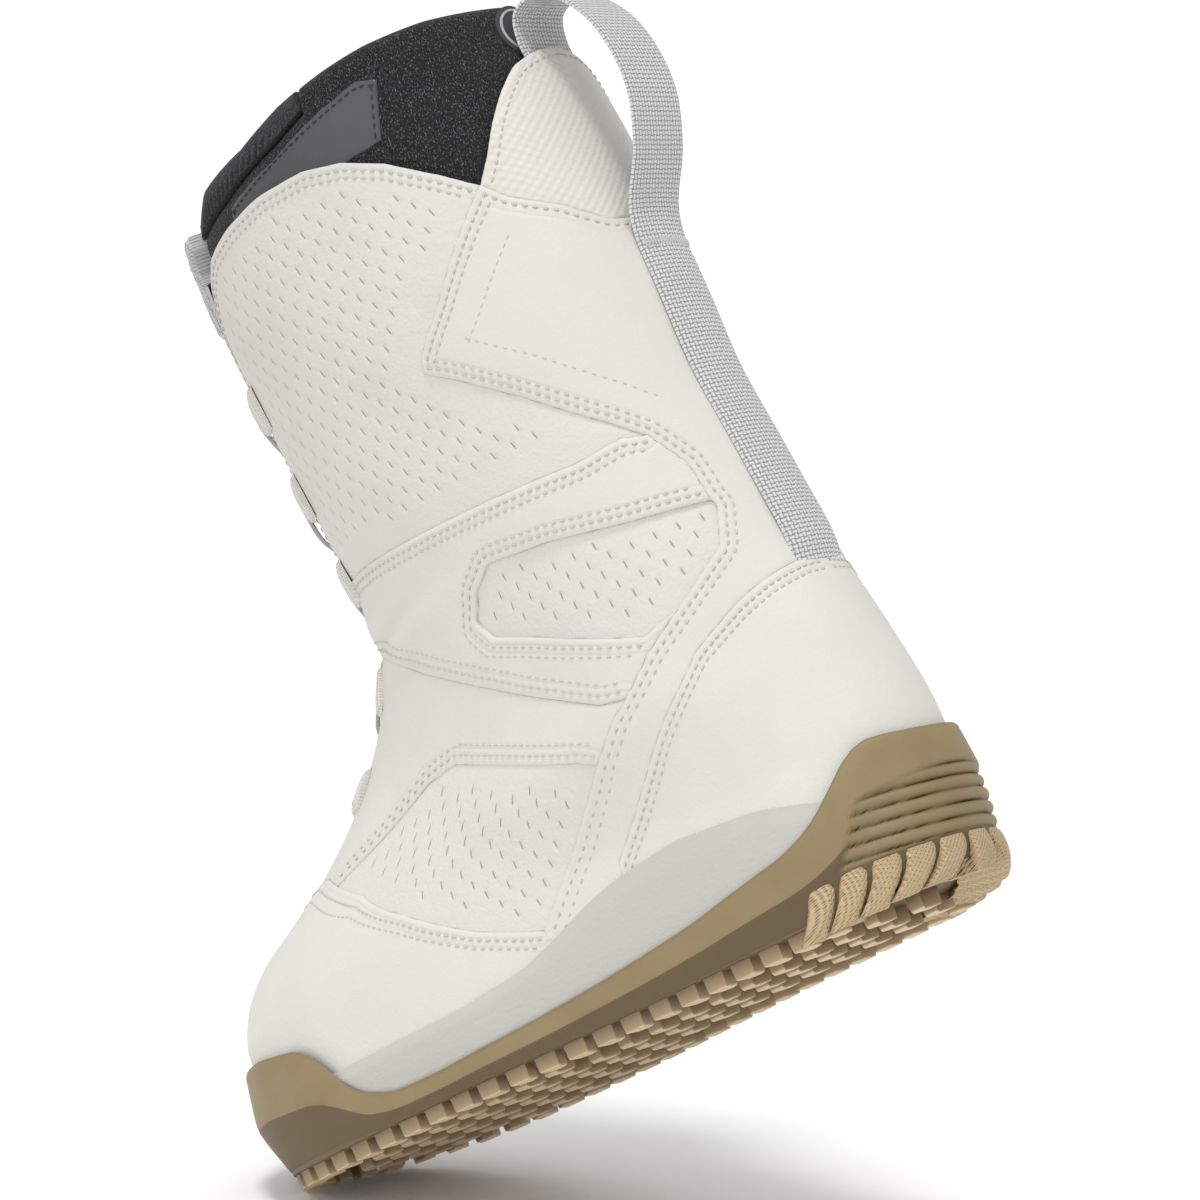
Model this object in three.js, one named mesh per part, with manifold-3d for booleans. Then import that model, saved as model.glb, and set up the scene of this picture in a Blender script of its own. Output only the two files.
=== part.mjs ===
// A right-foot snowboard boot: gum cup sole, panelled shell, padded tongue with one lace
// reel, and a removable liner. Millimetres. +X is the toe, +Y the inner (medial) side, +Z up.
// The origin is on the floor under the middle of the sole.
import * as THREE from "three";
import { mergeGeometries, mergeVertices } from "three/addons/utils/BufferGeometryUtils.js";
import Module from "manifold-3d";

const wasm = await Module();
wasm.setup();

// ---- overall sizes -------------------------------------------------------------------
const footLength = 285.5;       // shell, heel to toe, just above the sole
const footWidth = 102;          // shell, across the ball of the foot
const shellHeight = 301;        // floor to the top of the rear spoiler

// ---- walls and clearances ------------------------------------------------------------
const seamGap = 0.4;            // between neighbouring pieces
const panelThickness = 1.8;
const liningThickness = 1.5;
const tongueThickness = 7;
const linerThickness = 8;
const randThickness = 2;        // wall of the midsole that wraps the upper
const cupThickness = 2.4;       // wall of the gum cup
const tongueClearance = 1.2;    // tongue to the throat's edges
const throatEndGap = 1.5;       // tongue's lower end to the end of the throat

// ---- sole stack, heights above the floor ---------------------------------------------
const lugHeight = 5;
const outsoleFloor = 6;         // thickness of the sole plate above the lugs
const midsoleHeight = 9;
const boardThickness = 2;
const linerSoleThickness = 4;
const footbedThickness = 5;
const plateTop = lugHeight + outsoleFloor;
const midsoleTop = plateTop + seamGap + midsoleHeight;
const boardTop = midsoleTop + seamGap + boardThickness;
const linerFloorBottom = boardTop + seamGap + linerSoleThickness + seamGap;

// ---- closure -------------------------------------------------------------------------
const laceRadius = 0.7;
const laceClearance = 0.5;
const guideThickness = 3;
const guideWidth = 8;
const guideHeight = 16;
const guideRows = [238, 206, 174, 138, 112];

// ---- lace reel -----------------------------------------------------------------------
const reelHeight = 222;         // centre of the reel above the floor
const reelAngle = -98;          // where it sits round the cuff, degrees from the toe
const reelBaseRadius = 18;
const housingRadius = 13.5;
const housingWall = 1.6;
const spoolRadius = 11.4;
const axleRadius = 2.4;
const runningGap = 0.35;
const knobRadius = 15.4;
const gripDepth = 1.6;

// ---- rear webbing --------------------------------------------------------------------
const webbingWidth = 25;
const webbingThickness = 1.5;
const loopReach = 25;           // how far the pull loop stands off the spoiler
const webbingLow = 113;         // lower end of the strap, at the heel counter's seam
const loopRoot = 228;           // where the strap leaves the shell as the pull loop
const loopTuck = 286;           // lower end of the loop, tucked in behind the spoiler

// ---- mesh fineness -------------------------------------------------------------------
const aroundSteps = 20;
const levels = [4, 16, 32, 48, 60, 70, 80, 91, 103, 115, 128, 142, 157, 178, 205, 236, 268, 300,
  330];

// The pattern is drawn for this base size and graded to the overall sizes above.
const base = { length: 285.5, width: 102, height: 301 };
const gradeX = footLength / base.length;
const gradeY = footWidth / base.width;
const gradeZ = shellHeight / base.height;

const boot = new THREE.Group();
export default boot;

// ---- materials -----------------------------------------------------------------------
function surface(color, roughness, metalness = 0) {
  return new THREE.MeshStandardMaterial({ color, roughness, metalness });
}
const shellWhite = surface("#e3e2da", 0.62);
const texturedWhite = surface("#dddcd4", 0.7);
const bandGrey = surface("#d2d2ca", 0.65);
const gum = surface("#a48d68", 0.7);
const webbingGrey = surface("#b9bbbc", 0.85);
const linerBlack = surface("#1c1c1e", 0.9);
const patchCharcoal = surface("#3b3c3e", 0.35);
const foamGrey = surface("#8d8d8b", 0.9);
const boardTan = surface("#b59d75", 0.8);
const reelGrey = surface("#c4c4be", 0.5);
const rubberGrey = surface("#77786f", 0.8);
const steel = surface("#a7a9ab", 0.3, 0.9);

function addPiece(name, geometry, material, parent = boot) {
  const mesh = new THREE.Mesh(geometry, material);
  mesh.name = name;
  parent.add(mesh);
  return mesh;
}

// ---- solids --------------------------------------------------------------------------
function solidOf(geometry) {
  const bare = geometry.clone();
  bare.deleteAttribute("normal");
  bare.deleteAttribute("uv");
  const welded = mergeVertices(bare, 1e-4);
  return new wasm.Manifold(new wasm.Mesh({
    numProp: 3,
    vertProperties: new Float32Array(welded.attributes.position.array),
    triVerts: new Uint32Array(welded.index.array),
  }));
}

function geometryOf(solid) {
  const mesh = solid.getMesh();
  const geometry = new THREE.BufferGeometry();
  geometry.setAttribute("position", new THREE.BufferAttribute(mesh.vertProperties, 3));
  geometry.setIndex(new THREE.BufferAttribute(mesh.triVerts, 1));
  return geometry;
}

// The largest body of a cut, without the slivers beside it.
function mainBody(solid) {
  return solid.decompose().reduce((best, part) => (part.volume() > best.volume() ? part : best));
}

function addSolid(name, solid, material, parent = boot) {
  return addPiece(name, geometryOf(mainBody(solid)), material, parent);
}

function join(solids) {
  return solids.reduce((sum, solid) => sum.add(solid));
}

// ---- the boot's outer form -----------------------------------------------------------
// A smooth curve through [position, value] points that doesn't overshoot between them.
function smoothCurve(points) {
  const steps = points.slice(1).map((p, i) => (p[1] - points[i][1]) / (p[0] - points[i][0]));
  const slopes = points.map((p, i) => {
    const before = steps[Math.max(i - 1, 0)];
    const after = steps[Math.min(i, steps.length - 1)];
    return before * after > 0 ? 2 * before * after / (before + after) : 0;
  });
  return (position) => {
    const last = points.length - 1;
    if (position <= points[0][0]) return points[0][1] + slopes[0] * (position - points[0][0]);
    if (position >= points[last][0]) {
      return points[last][1] + slopes[last] * (position - points[last][0]);
    }
    const i = points.findIndex((p) => p[0] > position) - 1;
    const width = points[i + 1][0] - points[i][0];
    const u = (position - points[i][0]) / width;
    const rise = u * u * (3 - 2 * u);
    return points[i][1] * (1 - rise) + points[i + 1][1] * rise
      + width * u * (1 - u) * (slopes[i] * (1 - u) - slopes[i + 1] * u);
  };
}

// Front and back of the side view, [height, x].
const frontLine = smoothCurve([[8, 138], [30, 142], [50, 142], [58, 140], [66, 136], [74, 128],
  [82, 113], [98, 86], [114, 65], [130, 48], [142, 39], [156, 35.5], [196, 40.5], [244, 46.5],
  [268, 49.5], [335, 50]]);
const backLine = smoothCurve([[8, -141], [30, -143.5], [56, -143], [88, -137.5], [121, -130],
  [154, -124.5], [186, -119.5], [218, -118], [250, -114.5], [284, -109.5], [310, -104.5],
  [335, -101]]);
// Half the greatest width of each level, and how square that level's plan is.
const halfWidthLine = smoothCurve([[8, 48], [30, 51], [55, 50], [80, 47], [105, 45], [130, 46],
  [155, 48], [185, 51], [220, 54], [263, 56], [335, 58]]);
const squarenessLine = smoothCurve([[8, 5.5], [50, 5], [75, 4.2], [100, 3.4], [130, 2.6],
  [160, 2.2], [335, 2.1]]);
// Share of that width from heel (0) to toe (1) at the foot, the instep and the leg.
const footPlan = smoothCurve([[0, 0.8], [0.12, 0.82], [0.3, 0.8], [0.45, 0.86], [0.62, 0.99],
  [0.78, 1], [0.9, 0.97], [1, 0.92]]);
const instepPlan = smoothCurve([[0, 0.92], [0.15, 0.96], [0.4, 1], [0.6, 0.95], [0.8, 0.85],
  [1, 0.75]]);
const legPlan = smoothCurve([[0, 0.96], [0.3, 1], [0.6, 1], [1, 0.96]]);
const toeSwing = 3;             // how far the toe curves towards the inner side

function blend(low, high, value) {
  return THREE.MathUtils.smoothstep(value, low, high);
}

function frontAt(z) {
  return gradeX * frontLine(z / gradeZ);
}

function backAt(z) {
  return gradeX * backLine(z / gradeZ);
}

// A point of the outer form: angle round the boot from the toe, and height.
function formPoint(angle, z) {
  const level = z / gradeZ;
  const front = frontAt(z);
  const back = backAt(z);
  const along = Math.cos(angle);
  const t = (1 + along) / 2;
  const lower = THREE.MathUtils.lerp(footPlan(t), instepPlan(t), blend(50, 90, level));
  const plan = THREE.MathUtils.lerp(lower, legPlan(t), blend(105, 150, level));
  const fill = Math.sqrt(Math.max(0, 1 - Math.abs(along) ** squarenessLine(level)));
  const swing = toeSwing * blend(0.45, 1, t) * (1 - blend(60, 110, level));
  const half = halfWidthLine(level) * plan * fill;
  return new THREE.Vector3(
    (front + back) / 2 + (front - back) / 2 * along,
    gradeY * (swing + Math.sign(Math.sin(angle)) * half),
    z,
  );
}

function formNormal(angle, z) {
  const turn = 0.03;
  const rise = 1.5;
  const across = formPoint(angle + turn, z).sub(formPoint(angle - turn, z));
  const up = formPoint(angle, z + rise).sub(formPoint(angle, z - rise));
  return across.cross(up).normalize();
}

function offsetPoint(angle, z, distance) {
  return formPoint(angle, z).addScaledVector(formNormal(angle, z), distance);
}

// A capped solid inside the form moved out by an offset, which may change over the boot.
function formSolid(offset, heights = levels) {
  const offsetAt = typeof offset === "function" ? offset : () => offset;
  const positions = [];
  for (const level of heights) {
    for (let i = 0; i < aroundSteps; i += 1) {
      const angle = (i + 0.5) / aroundSteps * 2 * Math.PI;
      positions.push(...offsetPoint(angle, level * gradeZ, offsetAt(angle, level)).toArray());
    }
  }
  const rings = heights.length;
  const bottom = positions.length / 3;
  const middle = (z) => (frontAt(z) + backAt(z)) / 2;
  const low = heights[0] * gradeZ;
  const high = heights[rings - 1] * gradeZ;
  positions.push(middle(low), 0, low, middle(high), 0, high);
  const faces = [];
  for (let i = 0; i < aroundSteps; i += 1) {
    const next = (i + 1) % aroundSteps;
    for (let ring = 0; ring < rings - 1; ring += 1) {
      const a = ring * aroundSteps + i;
      const b = ring * aroundSteps + next;
      faces.push(a, b, b + aroundSteps, a, b + aroundSteps, a + aroundSteps);
    }
    const top = (rings - 1) * aroundSteps;
    faces.push(bottom, next, i, bottom + 1, top + i, top + next);
  }
  const geometry = new THREE.BufferGeometry();
  geometry.setAttribute("position", new THREE.Float32BufferAttribute(positions, 3));
  geometry.setIndex(faces);
  return solidOf(geometry);
}

function layer(inner, outer, heights = levels) {
  return formSolid(outer, heights).subtract(formSolid(inner, heights));
}

// ---- cutters -------------------------------------------------------------------------
const reach = 110;              // half the length of every cutter
const aboveSole = 100;          // a height over every edge of the sole
const aboveBoot = 400;          // a height over the whole boot

// Turns seam points, [share from heel to toe, height], into side-view points.
function seam(points) {
  return points.map(([t, level]) => {
    const z = level * gradeZ;
    const held = Math.min(Math.max(z, 8), 330 * gradeZ);
    return new THREE.Vector2(THREE.MathUtils.lerp(backAt(held), frontAt(held), t), z);
  });
}

function sidePrism(outline, from = -reach, to = reach) {
  const geometry = new THREE.ExtrudeGeometry(new THREE.Shape(outline), {
    depth: to - from, bevelEnabled: false,
  });
  geometry.rotateX(Math.PI / 2);
  geometry.translate(0, to, 0);
  return solidOf(geometry);
}

// A front-view outline, (y, z), pushed along X.
function frontPrism(outline, from, to) {
  const geometry = new THREE.ExtrudeGeometry(new THREE.Shape(outline), {
    depth: to - from, bevelEnabled: false,
  });
  const basis = new THREE.Matrix4().makeBasis(
    new THREE.Vector3(0, 1, 0), new THREE.Vector3(0, 0, 1), new THREE.Vector3(1, 0, 0),
  );
  geometry.applyMatrix4(basis);
  geometry.translate(from, 0, 0);
  return solidOf(geometry);
}

// The outline with every side moved out by a distance.
function grow(outline, distance) {
  const points = THREE.ShapeUtils.isClockWise(outline) ? [...outline].reverse() : outline;
  const count = points.length;
  return points.map((point, i) => {
    const into = point.clone().sub(points[(i + count - 1) % count]).normalize();
    const out = points[(i + 1) % count].clone().sub(point).normalize();
    const bisector = new THREE.Vector2(into.y + out.y, -into.x - out.x);
    const stretch = Math.max(bisector.dot(new THREE.Vector2(into.y, -into.x)), 0.5);
    return point.clone().addScaledVector(bisector, distance / stretch);
  });
}

function slab(low, high) {
  const outline = [[-2, low], [3, low], [3, high], [-2, high]];
  return sidePrism(outline.map(([side, z]) => new THREE.Vector2(side * reach, z)), -reach, reach);
}

// ---- throat --------------------------------------------------------------------------
const throatBottom = 88;        // base-size height of the lower end of the throat
const throatTop = 345;          // and of its upper end, above the liner
const throatFrom = -20;         // the throat is cut in front of this x
const throatLine = smoothCurve([[88, 12], [130, 15], [180, 19], [230, 23], [262, 29], [300, 33]]);

function throatHalf(z) {
  return gradeY * throatLine(z / gradeZ);
}

// The throat's outline in front view, narrowed by an inset.
function throatOutline(inset, low, high) {
  const heights = [0, 0.2, 0.4, 0.6, 0.7, 0.8, 1]
    .map((share) => THREE.MathUtils.lerp(low, high, share));
  const right = heights.map((z) => new THREE.Vector2(throatHalf(z) - inset, z));
  const left = heights.map((z) => new THREE.Vector2(inset - throatHalf(z), z)).reverse();
  return [...right, ...left];
}

const throatCut = frontPrism(throatOutline(0, throatBottom * gradeZ, throatTop * gradeZ),
  throatFrom, footLength);

// ---- sole ----------------------------------------------------------------------------
const upperOuter = 0;
const upperInner = -panelThickness;
const liningOuter = upperInner - seamGap;
const liningInner = liningOuter - liningThickness;
const randInner = upperOuter + seamGap;
const randOuter = randInner + randThickness;
const cupInner = randOuter + seamGap;
const cupOuter = cupInner + cupThickness;

// Underside of the sole plate in side view: flat, with toe spring and a bevelled heel.
const soleUnderside = [[1.08, 9.5], [0.98, 7.5], [0.88, 5.5], [0.8, 5], [0.12, 5], [0.05, 6.5],
  [-0.02, 9.5]];
const cupRim = [[-0.08, 47], [0, 49], [0.02, 52], [0.045, 52], [0.06, 45], [0.1, 33], [0.14, 28],
  [0.27, 22], [0.4, 18.5], [0.53, 16], [0.65, 14.5], [0.72, 15], [0.765, 20], [0.79, 32],
  [0.82, 40], [0.9, 44], [1.08, 45]];
const bandRim = [[-0.08, 34], [0.02, 35], [0.07, 37], [0.1, 40], [0.15, 44], [0.26, 47],
  [0.34, 45], [0.39, 42], [0.44, 37], [0.5, 31.5], [0.59, 28.5], [0.8, 28], [1.08, 28]];

// Staggered tread blocks over the flat part of the sole, one of them under the origin.
function soleLugs() {
  const lugLength = 12;
  const lugWidth = 12;
  const pitch = 20;
  const rowPitch = 16;
  const sunk = 1;
  const lugs = [];
  for (let row = -2; row <= 2; row += 1) {
    const shift = row % 2 === 0 ? 0 : pitch / 2;
    for (let column = -8; column <= 8; column += 1) {
      const x = column * pitch + shift;
      const y = row * rowPitch;
      const t = (x - backAt(10)) / (frontAt(10) - backAt(10));
      const edge = gradeY * halfWidthLine(10) * footPlan(t) + cupOuter;
      if (t > 0.08 && t < 0.9 && Math.abs(y) + lugWidth / 2 < edge) {
        const lug = new THREE.BoxGeometry(lugLength, lugWidth, lugHeight + sunk);
        lug.translate(x, y, (lugHeight + sunk) / 2);
        lugs.push(lug);
      }
    }
  }
  return solidOf(mergeGeometries(lugs));
}

function addSole() {
  const cup = sidePrism(seam([...soleUnderside, ...cupRim]));
  const hollow = formSolid(cupInner).intersect(slab(plateTop, aboveSole));
  const outsole = formSolid(cupOuter).intersect(cup).subtract(hollow);
  addSolid("outsole", outsole.add(soleLugs()), gum);

  const bandBottom = plateTop + seamGap;
  const band = sidePrism(seam([[1.2, 0], [-0.2, 0], ...bandRim]))
    .intersect(slab(bandBottom, aboveSole));
  const well = formSolid(randInner).intersect(slab(midsoleTop, aboveSole));
  const shankSize = [0.55 * footLength, 0.24 * footWidth, 2.2];
  const shankPocket = new THREE.BoxGeometry(
    shankSize[0] + 2 * seamGap, shankSize[1] + 2 * seamGap, 2 * (shankSize[2] + seamGap),
  );
  shankPocket.translate(-0.08 * footLength, 0, midsoleTop);
  const midsole = formSolid(randOuter).intersect(band).subtract(well);
  addSolid("midsole", midsole.subtract(solidOf(shankPocket)), bandGrey);

  const shank = new THREE.BoxGeometry(...shankSize);
  shank.translate(-0.08 * footLength, 0, midsoleTop - shankSize[2] / 2);
  addPiece("shank", shank, foamGrey);

  const board = formSolid(liningInner - seamGap)
    .intersect(slab(midsoleTop + seamGap, boardTop));
  addSolid("lasting_board", board, boardTan);
}

// ---- shell upper ---------------------------------------------------------------------
const upperBottom = midsoleTop + seamGap;

// Seams of the side view, [share from heel to toe, height].
const spoilerSeam = [[-0.2, 232], [0.02, 236], [0.06, 245], [0.12, 253], [0.15, 260]];
const spoilerTop = [[0.12, 268], [0.09, 278], [0.06, 287], [0.03, 295], [0, 300], [-0.2, 302]];
const counterSeam = [[-0.2, 114], [0.01, 113], [0.05, 110], [0.09, 106], [0.16, 97], [0.22, 82],
  [0.26, 70], [0.31, 57], [0.34, 49], [0.36, 0]];
const rearEdgeHigh = [[0.15, 260], [0.23, 246], [0.32, 230], [0.4, 218], [0.415, 213],
  [0.36, 207], [0.25, 192], [0.14, 174]];
const rearEdgeLow = [[0.1, 166], [0.07, 153], [0.06, 138], [0.08, 125], [0.13, 117],
  [0.23, 103], [0.3, 88], [0.34, 73], [0.39, 59], [0.46, 40], [0.5, 0]];
const cuffTop = [[0.2, 268], [0.28, 279], [0.36, 286], [0.45, 290], [0.58, 291], [0.7, 289],
  [0.8, 286], [0.86, 280], [0.9, 271], [0.94, 262], [1.2, 258]];
const cuffBottom = [[1.2, 174], [0.87, 173], [0.64, 170], [0.44, 168], [0.23, 166], [0.14, 168]];
const ankleWindow = [[0.5, 151], [0.35, 148], [0.2, 143], [-0.1, 136], [-0.1, 120], [0.16, 112],
  [0.23, 108], [0.31, 114], [0.44, 124], [0.53, 130], [0.57, 137], [0.55, 145]];
const ankleLow = [[0.1, 85], [0.32, 95], [0.4, 103], [0.55, 117], [0.68, 128], [0.82, 139],
  [0.87, 144], [1.2, 156]];
const forefoot = [[0.86, 85], [0.75, 93], [0.68, 100], [0.62, 101], [0.52, 94], [0.36, 82],
  [0.25, 70], [0.42, 48], [0.46, 45.5], [0.5, 44.5], [0.53, 47], [0.57, 54], [0.64, 65],
  [0.75, 77]];
const vampSeam = [[1.4, 92], [0.92, 91], [0.9, 90], [0.73, 77], [0.64, 65], [0.54, 49],
  [0.49, 43], [0.45, 38], [0.46, 0]];
const liningTop = [[1.2, 256], [0.94, 258], [0.9, 266], [0.8, 282], [0.58, 287], [0.45, 286],
  [0.28, 275], [0.16, 256], [0.1, 268], [0.04, 288], [0, 295], [-0.2, 298]];

const sides = [["medial", 0, reach], ["lateral", -reach, 0]];
const atBack = [-footLength, -0.1 * footLength];

// A straight strip of the boot's back between two heights.
function rearPrism(half, low, high) {
  const strip = [[half, low], [half, high], [-half, high], [-half, low]];
  return frontPrism(strip.map(([y, level]) => new THREE.Vector2(y, level * gradeZ)), ...atBack);
}

function addShell() {
  const shell = { left: layer(upperInner, upperOuter).intersect(slab(upperBottom, aboveBoot))
    .subtract(throatCut) };

  // Takes the piece inside an outline off what is left of the shell's skin.
  function take(name, outline, material, from, to) {
    const piece = shell.left.intersect(sidePrism(outline, from, to));
    shell.left = shell.left.subtract(sidePrism(grow(outline, seamGap), from, to));
    addSolid(name, piece, material);
  }

  take("rear_spoiler", seam([...spoilerSeam, ...spoilerTop]), texturedWhite);
  take("heel_counter", seam([...counterSeam, [-0.2, 0]]), shellWhite);
  take("rear_panel", seam([[-0.2, 260], ...rearEdgeHigh, ...rearEdgeLow, [-0.2, 0]]), shellWhite);
  take("vamp", seam([...vampSeam, [1.4, 0]]), shellWhite);
  for (const [side, from, to] of sides) {
    const cuff = [...rearEdgeHigh].reverse();
    take(`cuff_panel_${side}`, seam([...cuffBottom, ...cuff, ...cuffTop]), texturedWhite, from, to);
    take(`ankle_window_${side}`, seam(ankleWindow), texturedWhite, from, to);
    take(`ankle_overlay_${side}`, seam([...ankleLow, [1.2, 190], [0.05, 190]]), shellWhite,
      from, to);
    take(`forefoot_panel_${side}`, seam(forefoot), texturedWhite, from, to);
    take(`instep_panel_${side}`, seam([[0, 60], [1.2, 60], [1.2, 160], [0, 160]]), shellWhite,
      from, to);
  }

  const lining = layer(liningInner, liningOuter).intersect(slab(upperBottom, aboveBoot))
    .subtract(throatCut)
    .intersect(sidePrism(seam([[-0.2, 0], [1.2, 0], ...liningTop])))
    .subtract(rearPrism(webbingWidth / 2 + seamGap, loopTuck - seamGap, aboveBoot));
  addSolid("shell_lining", lining, foamGrey);
}

// ---- liner ---------------------------------------------------------------------------
const linerOuter = liningInner - seamGap;
const linerTop = [[1.2, 302], [0.85, 303], [0.78, 308], [0.6, 310], [0.46, 315], [0.33, 318],
  [0.22, 320], [0.1, 321], [-0.2, 319]];
const linerBedTop = linerFloorBottom + 5;     // top of the liner's own floor
const collarOutline = [[0.4, 309], [0.5, 304.5], [0.7, 299], [1.2, 296], [1.2, 340], [0.4, 340]];
const patchThickness = 0.9;
const patchOutline = [[0.7, 293], [0.69, 296], [0.5, 301], [0.29, 307], [0.25, 304], [0.31, 292],
  [0.42, 289]];
const badgeRadius = 9;
const badgeCentre = new THREE.Vector2(3, 309 * gradeZ);

// Offset of a surface so deep in the liner, which is set back behind the tongue.
function linerOffset(depth) {
  return (angle, level) => {
    const turn = Math.abs(Math.atan2(Math.sin(angle), Math.cos(angle)));
    const behindTongue = 1 - blend(30, 46, THREE.MathUtils.radToDeg(turn));
    const room = tongueThickness + seamGap + liningInner - upperOuter;
    return linerOuter - depth - Math.max(room, 0) * behindTongue * blend(80, 100, level);
  };
}

const throatLow = throatBottom * gradeZ;
const throatHigh = throatTop * gradeZ;

function tonguePrism(low, high) {
  return frontPrism(throatOutline(tongueClearance, low, high), throatFrom, footLength);
}

function addLiner() {
  const wall = formSolid(linerOffset(0))
    .subtract(formSolid(linerOffset(linerThickness)).intersect(slab(linerBedTop, aboveBoot)))
    .intersect(sidePrism(seam([[-0.2, 0], [1.2, 0], ...linerTop])))
    .intersect(slab(linerFloorBottom, aboveBoot));
  const collar = seam(collarOutline);
  const skin = formSolid(linerOffset(patchThickness));
  const recess = formSolid(linerOffset(patchThickness + seamGap));
  const badge = new THREE.Shape().absarc(badgeCentre.x, badgeCentre.y, badgeRadius, 0, 2 * Math.PI);
  const badgeSeat = new THREE.Shape()
    .absarc(badgeCentre.x, badgeCentre.y, badgeRadius + seamGap, 0, 2 * Math.PI);
  const padding = wall.subtract(throatCut);
  const outerSkin = padding.subtract(skin);
  const seats = sidePrism(grow(seam(patchOutline), seamGap)).subtract(recess)
    .add(frontPrism(badgeSeat.getPoints(8), ...atBack).subtract(recess));
  addSolid("liner_boot", padding.subtract(sidePrism(grow(collar, seamGap))).subtract(seats),
    linerBlack);
  addSolid("liner_badge", outerSkin.intersect(frontPrism(badge.getPoints(8), ...atBack)),
    patchCharcoal);
  for (const [side, from, to] of sides) {
    addSolid(`liner_collar_${side}`, padding.intersect(sidePrism(collar, from, to)), linerBlack);
    addSolid(`liner_patch_${side}`,
      outerSkin.intersect(sidePrism(seam(patchOutline), from, to)), patchCharcoal);
  }
  addSolid("liner_tongue", wall.intersect(tonguePrism(throatLow + throatEndGap, throatHigh)),
    linerBlack);

  const sole = formSolid(linerOuter)
    .intersect(slab(boardTop + seamGap, boardTop + seamGap + linerSoleThickness));
  addSolid("liner_sole", sole, foamGrey);
  const footbed = formSolid(linerOffset(linerThickness + seamGap))
    .intersect(slab(linerBedTop + seamGap, linerBedTop + seamGap + footbedThickness));
  addSolid("footbed", footbed, patchCharcoal);
}

// ---- tongue --------------------------------------------------------------------------
const facingThickness = 1.4;
const tongueFace = upperOuter - 0.3;
const trimBottom = 285;
const trimTop = 300;
const trimHalf = 37;
const meshMargin = 3.5;         // trim's border round its mesh insert

// A front-view rectangle with cut corners.
function plate(half, low, high, corner) {
  return [[half, low + corner], [half, high - corner], [half - corner, high],
    [corner - half, high], [-half, high - corner], [-half, low + corner],
    [corner - half, low], [half - corner, low]].map(([y, z]) => new THREE.Vector2(y, z));
}

function addTongue() {
  const low = throatLow + throatEndGap;
  const high = trimBottom * gradeZ - seamGap;
  const padOuter = tongueFace - facingThickness - seamGap;
  const plug = tonguePrism(low, high);
  const behind = formSolid(linerOffset(-seamGap));
  addSolid("tongue_pad", formSolid(padOuter, levels).subtract(behind).intersect(plug), foamGrey);
  addSolid("tongue_facing", layer(padOuter + seamGap, tongueFace).intersect(plug), texturedWhite);

  const half = gradeY * trimHalf;
  const trim = plate(half, trimBottom * gradeZ, trimTop * gradeZ, 5);
  const mesh = plate(half - meshMargin, trimBottom * gradeZ + meshMargin,
    trimTop * gradeZ - meshMargin, 3);
  const front = [0.05 * footLength, footLength];
  const meshSkin = layer(tongueFace - 1.2, tongueFace);
  const meshSeat = layer(tongueFace - 1.2 - seamGap, tongueFace + 2);
  const body = formSolid(tongueFace, levels).subtract(behind);
  addSolid("tongue_trim", body.intersect(frontPrism(trim, ...front))
    .subtract(meshSeat.intersect(frontPrism(grow(mesh, seamGap), ...front))), webbingGrey);
  addSolid("tongue_mesh", meshSkin.intersect(frontPrism(mesh, ...front)), bandGrey);
}

// ---- lace and guides -----------------------------------------------------------------
const channelLift = seamGap + guideThickness / 2;
const lowLift = 1.5;            // lace centre over the tongue, first strand
const highLift = 3.6;           // the strand that crosses over it

// Angle round the form of the front point with this y.
function frontAngle(y, z) {
  let low = -1.5;
  let high = 1.5;
  for (let i = 0; i < 40; i += 1) {
    const middle = (low + high) / 2;
    if (formPoint(middle, z).y < y) low = middle;
    else high = middle;
  }
  return (low + high) / 2;
}

function frontPoint(y, z, lift) {
  return offsetPoint(frontAngle(y, z), z, lift);
}

// Where a row of guides sits; on the sloping instep its height in front view is less.
function guideRow(index) {
  const z = guideRows[index] * gradeZ;
  const slope = (frontAt(z + 4) - frontAt(z - 4)) / 8;
  const half = guideHeight / 2 / Math.hypot(1, slope);
  const inner = throatHalf(z) + 1.5;
  return { z, half, inner, deep: inner + 0.55 * guideWidth, outer: inner + guideWidth };
}

// The lace inside one guide, from its upper port to its lower one.
function guideTurn(index, side) {
  const { z, half, inner, deep } = guideRow(index);
  return [[inner, 0.5], [deep, 0.45], [deep, -0.45], [inner, -0.5]]
    .map(([y, share]) => frontPoint(side * y, z + share * half, channelLift));
}

// The lace over the tongue, between two guides.
function crossing(fromRow, fromSide, toRow, toSide, lift) {
  const start = guideRow(fromRow);
  const end = guideRow(toRow);
  const down = Math.sign(toRow - fromRow);
  const fromZ = start.z - down * 0.5 * start.half;
  const toZ = end.z + down * 0.5 * end.half;
  return [0.3, 0.5, 0.7].map((share) => frontPoint(
    THREE.MathUtils.lerp(fromSide * start.inner, toSide * end.inner, share),
    THREE.MathUtils.lerp(fromZ, toZ, share),
    lift,
  ));
}

// The reel's own frame: x towards the toe, y up the cuff, z out of it.
const reelTurn = THREE.MathUtils.degToRad(reelAngle);
const reelOut = formNormal(reelTurn, reelHeight * gradeZ);
const reelAlong = new THREE.Vector3(0, 0, 1).cross(reelOut).normalize();
const reelUp = reelOut.clone().cross(reelAlong);
const reelMatrix = new THREE.Matrix4().makeBasis(reelAlong, reelUp, reelOut)
  .setPosition(formPoint(reelTurn, reelHeight * gradeZ));

const laceHeight = 7.1;         // lace in the spool's groove, above the cuff
const laceEndRadius = 11.1;

function reelPoint(radius, degrees, height) {
  const angle = THREE.MathUtils.degToRad(degrees);
  return new THREE.Vector3(radius * Math.cos(angle), radius * Math.sin(angle), height)
    .applyMatrix4(reelMatrix);
}

function sidePoint(degrees, level, lift) {
  return offsetPoint(THREE.MathUtils.degToRad(degrees), level * gradeZ, lift);
}

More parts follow.
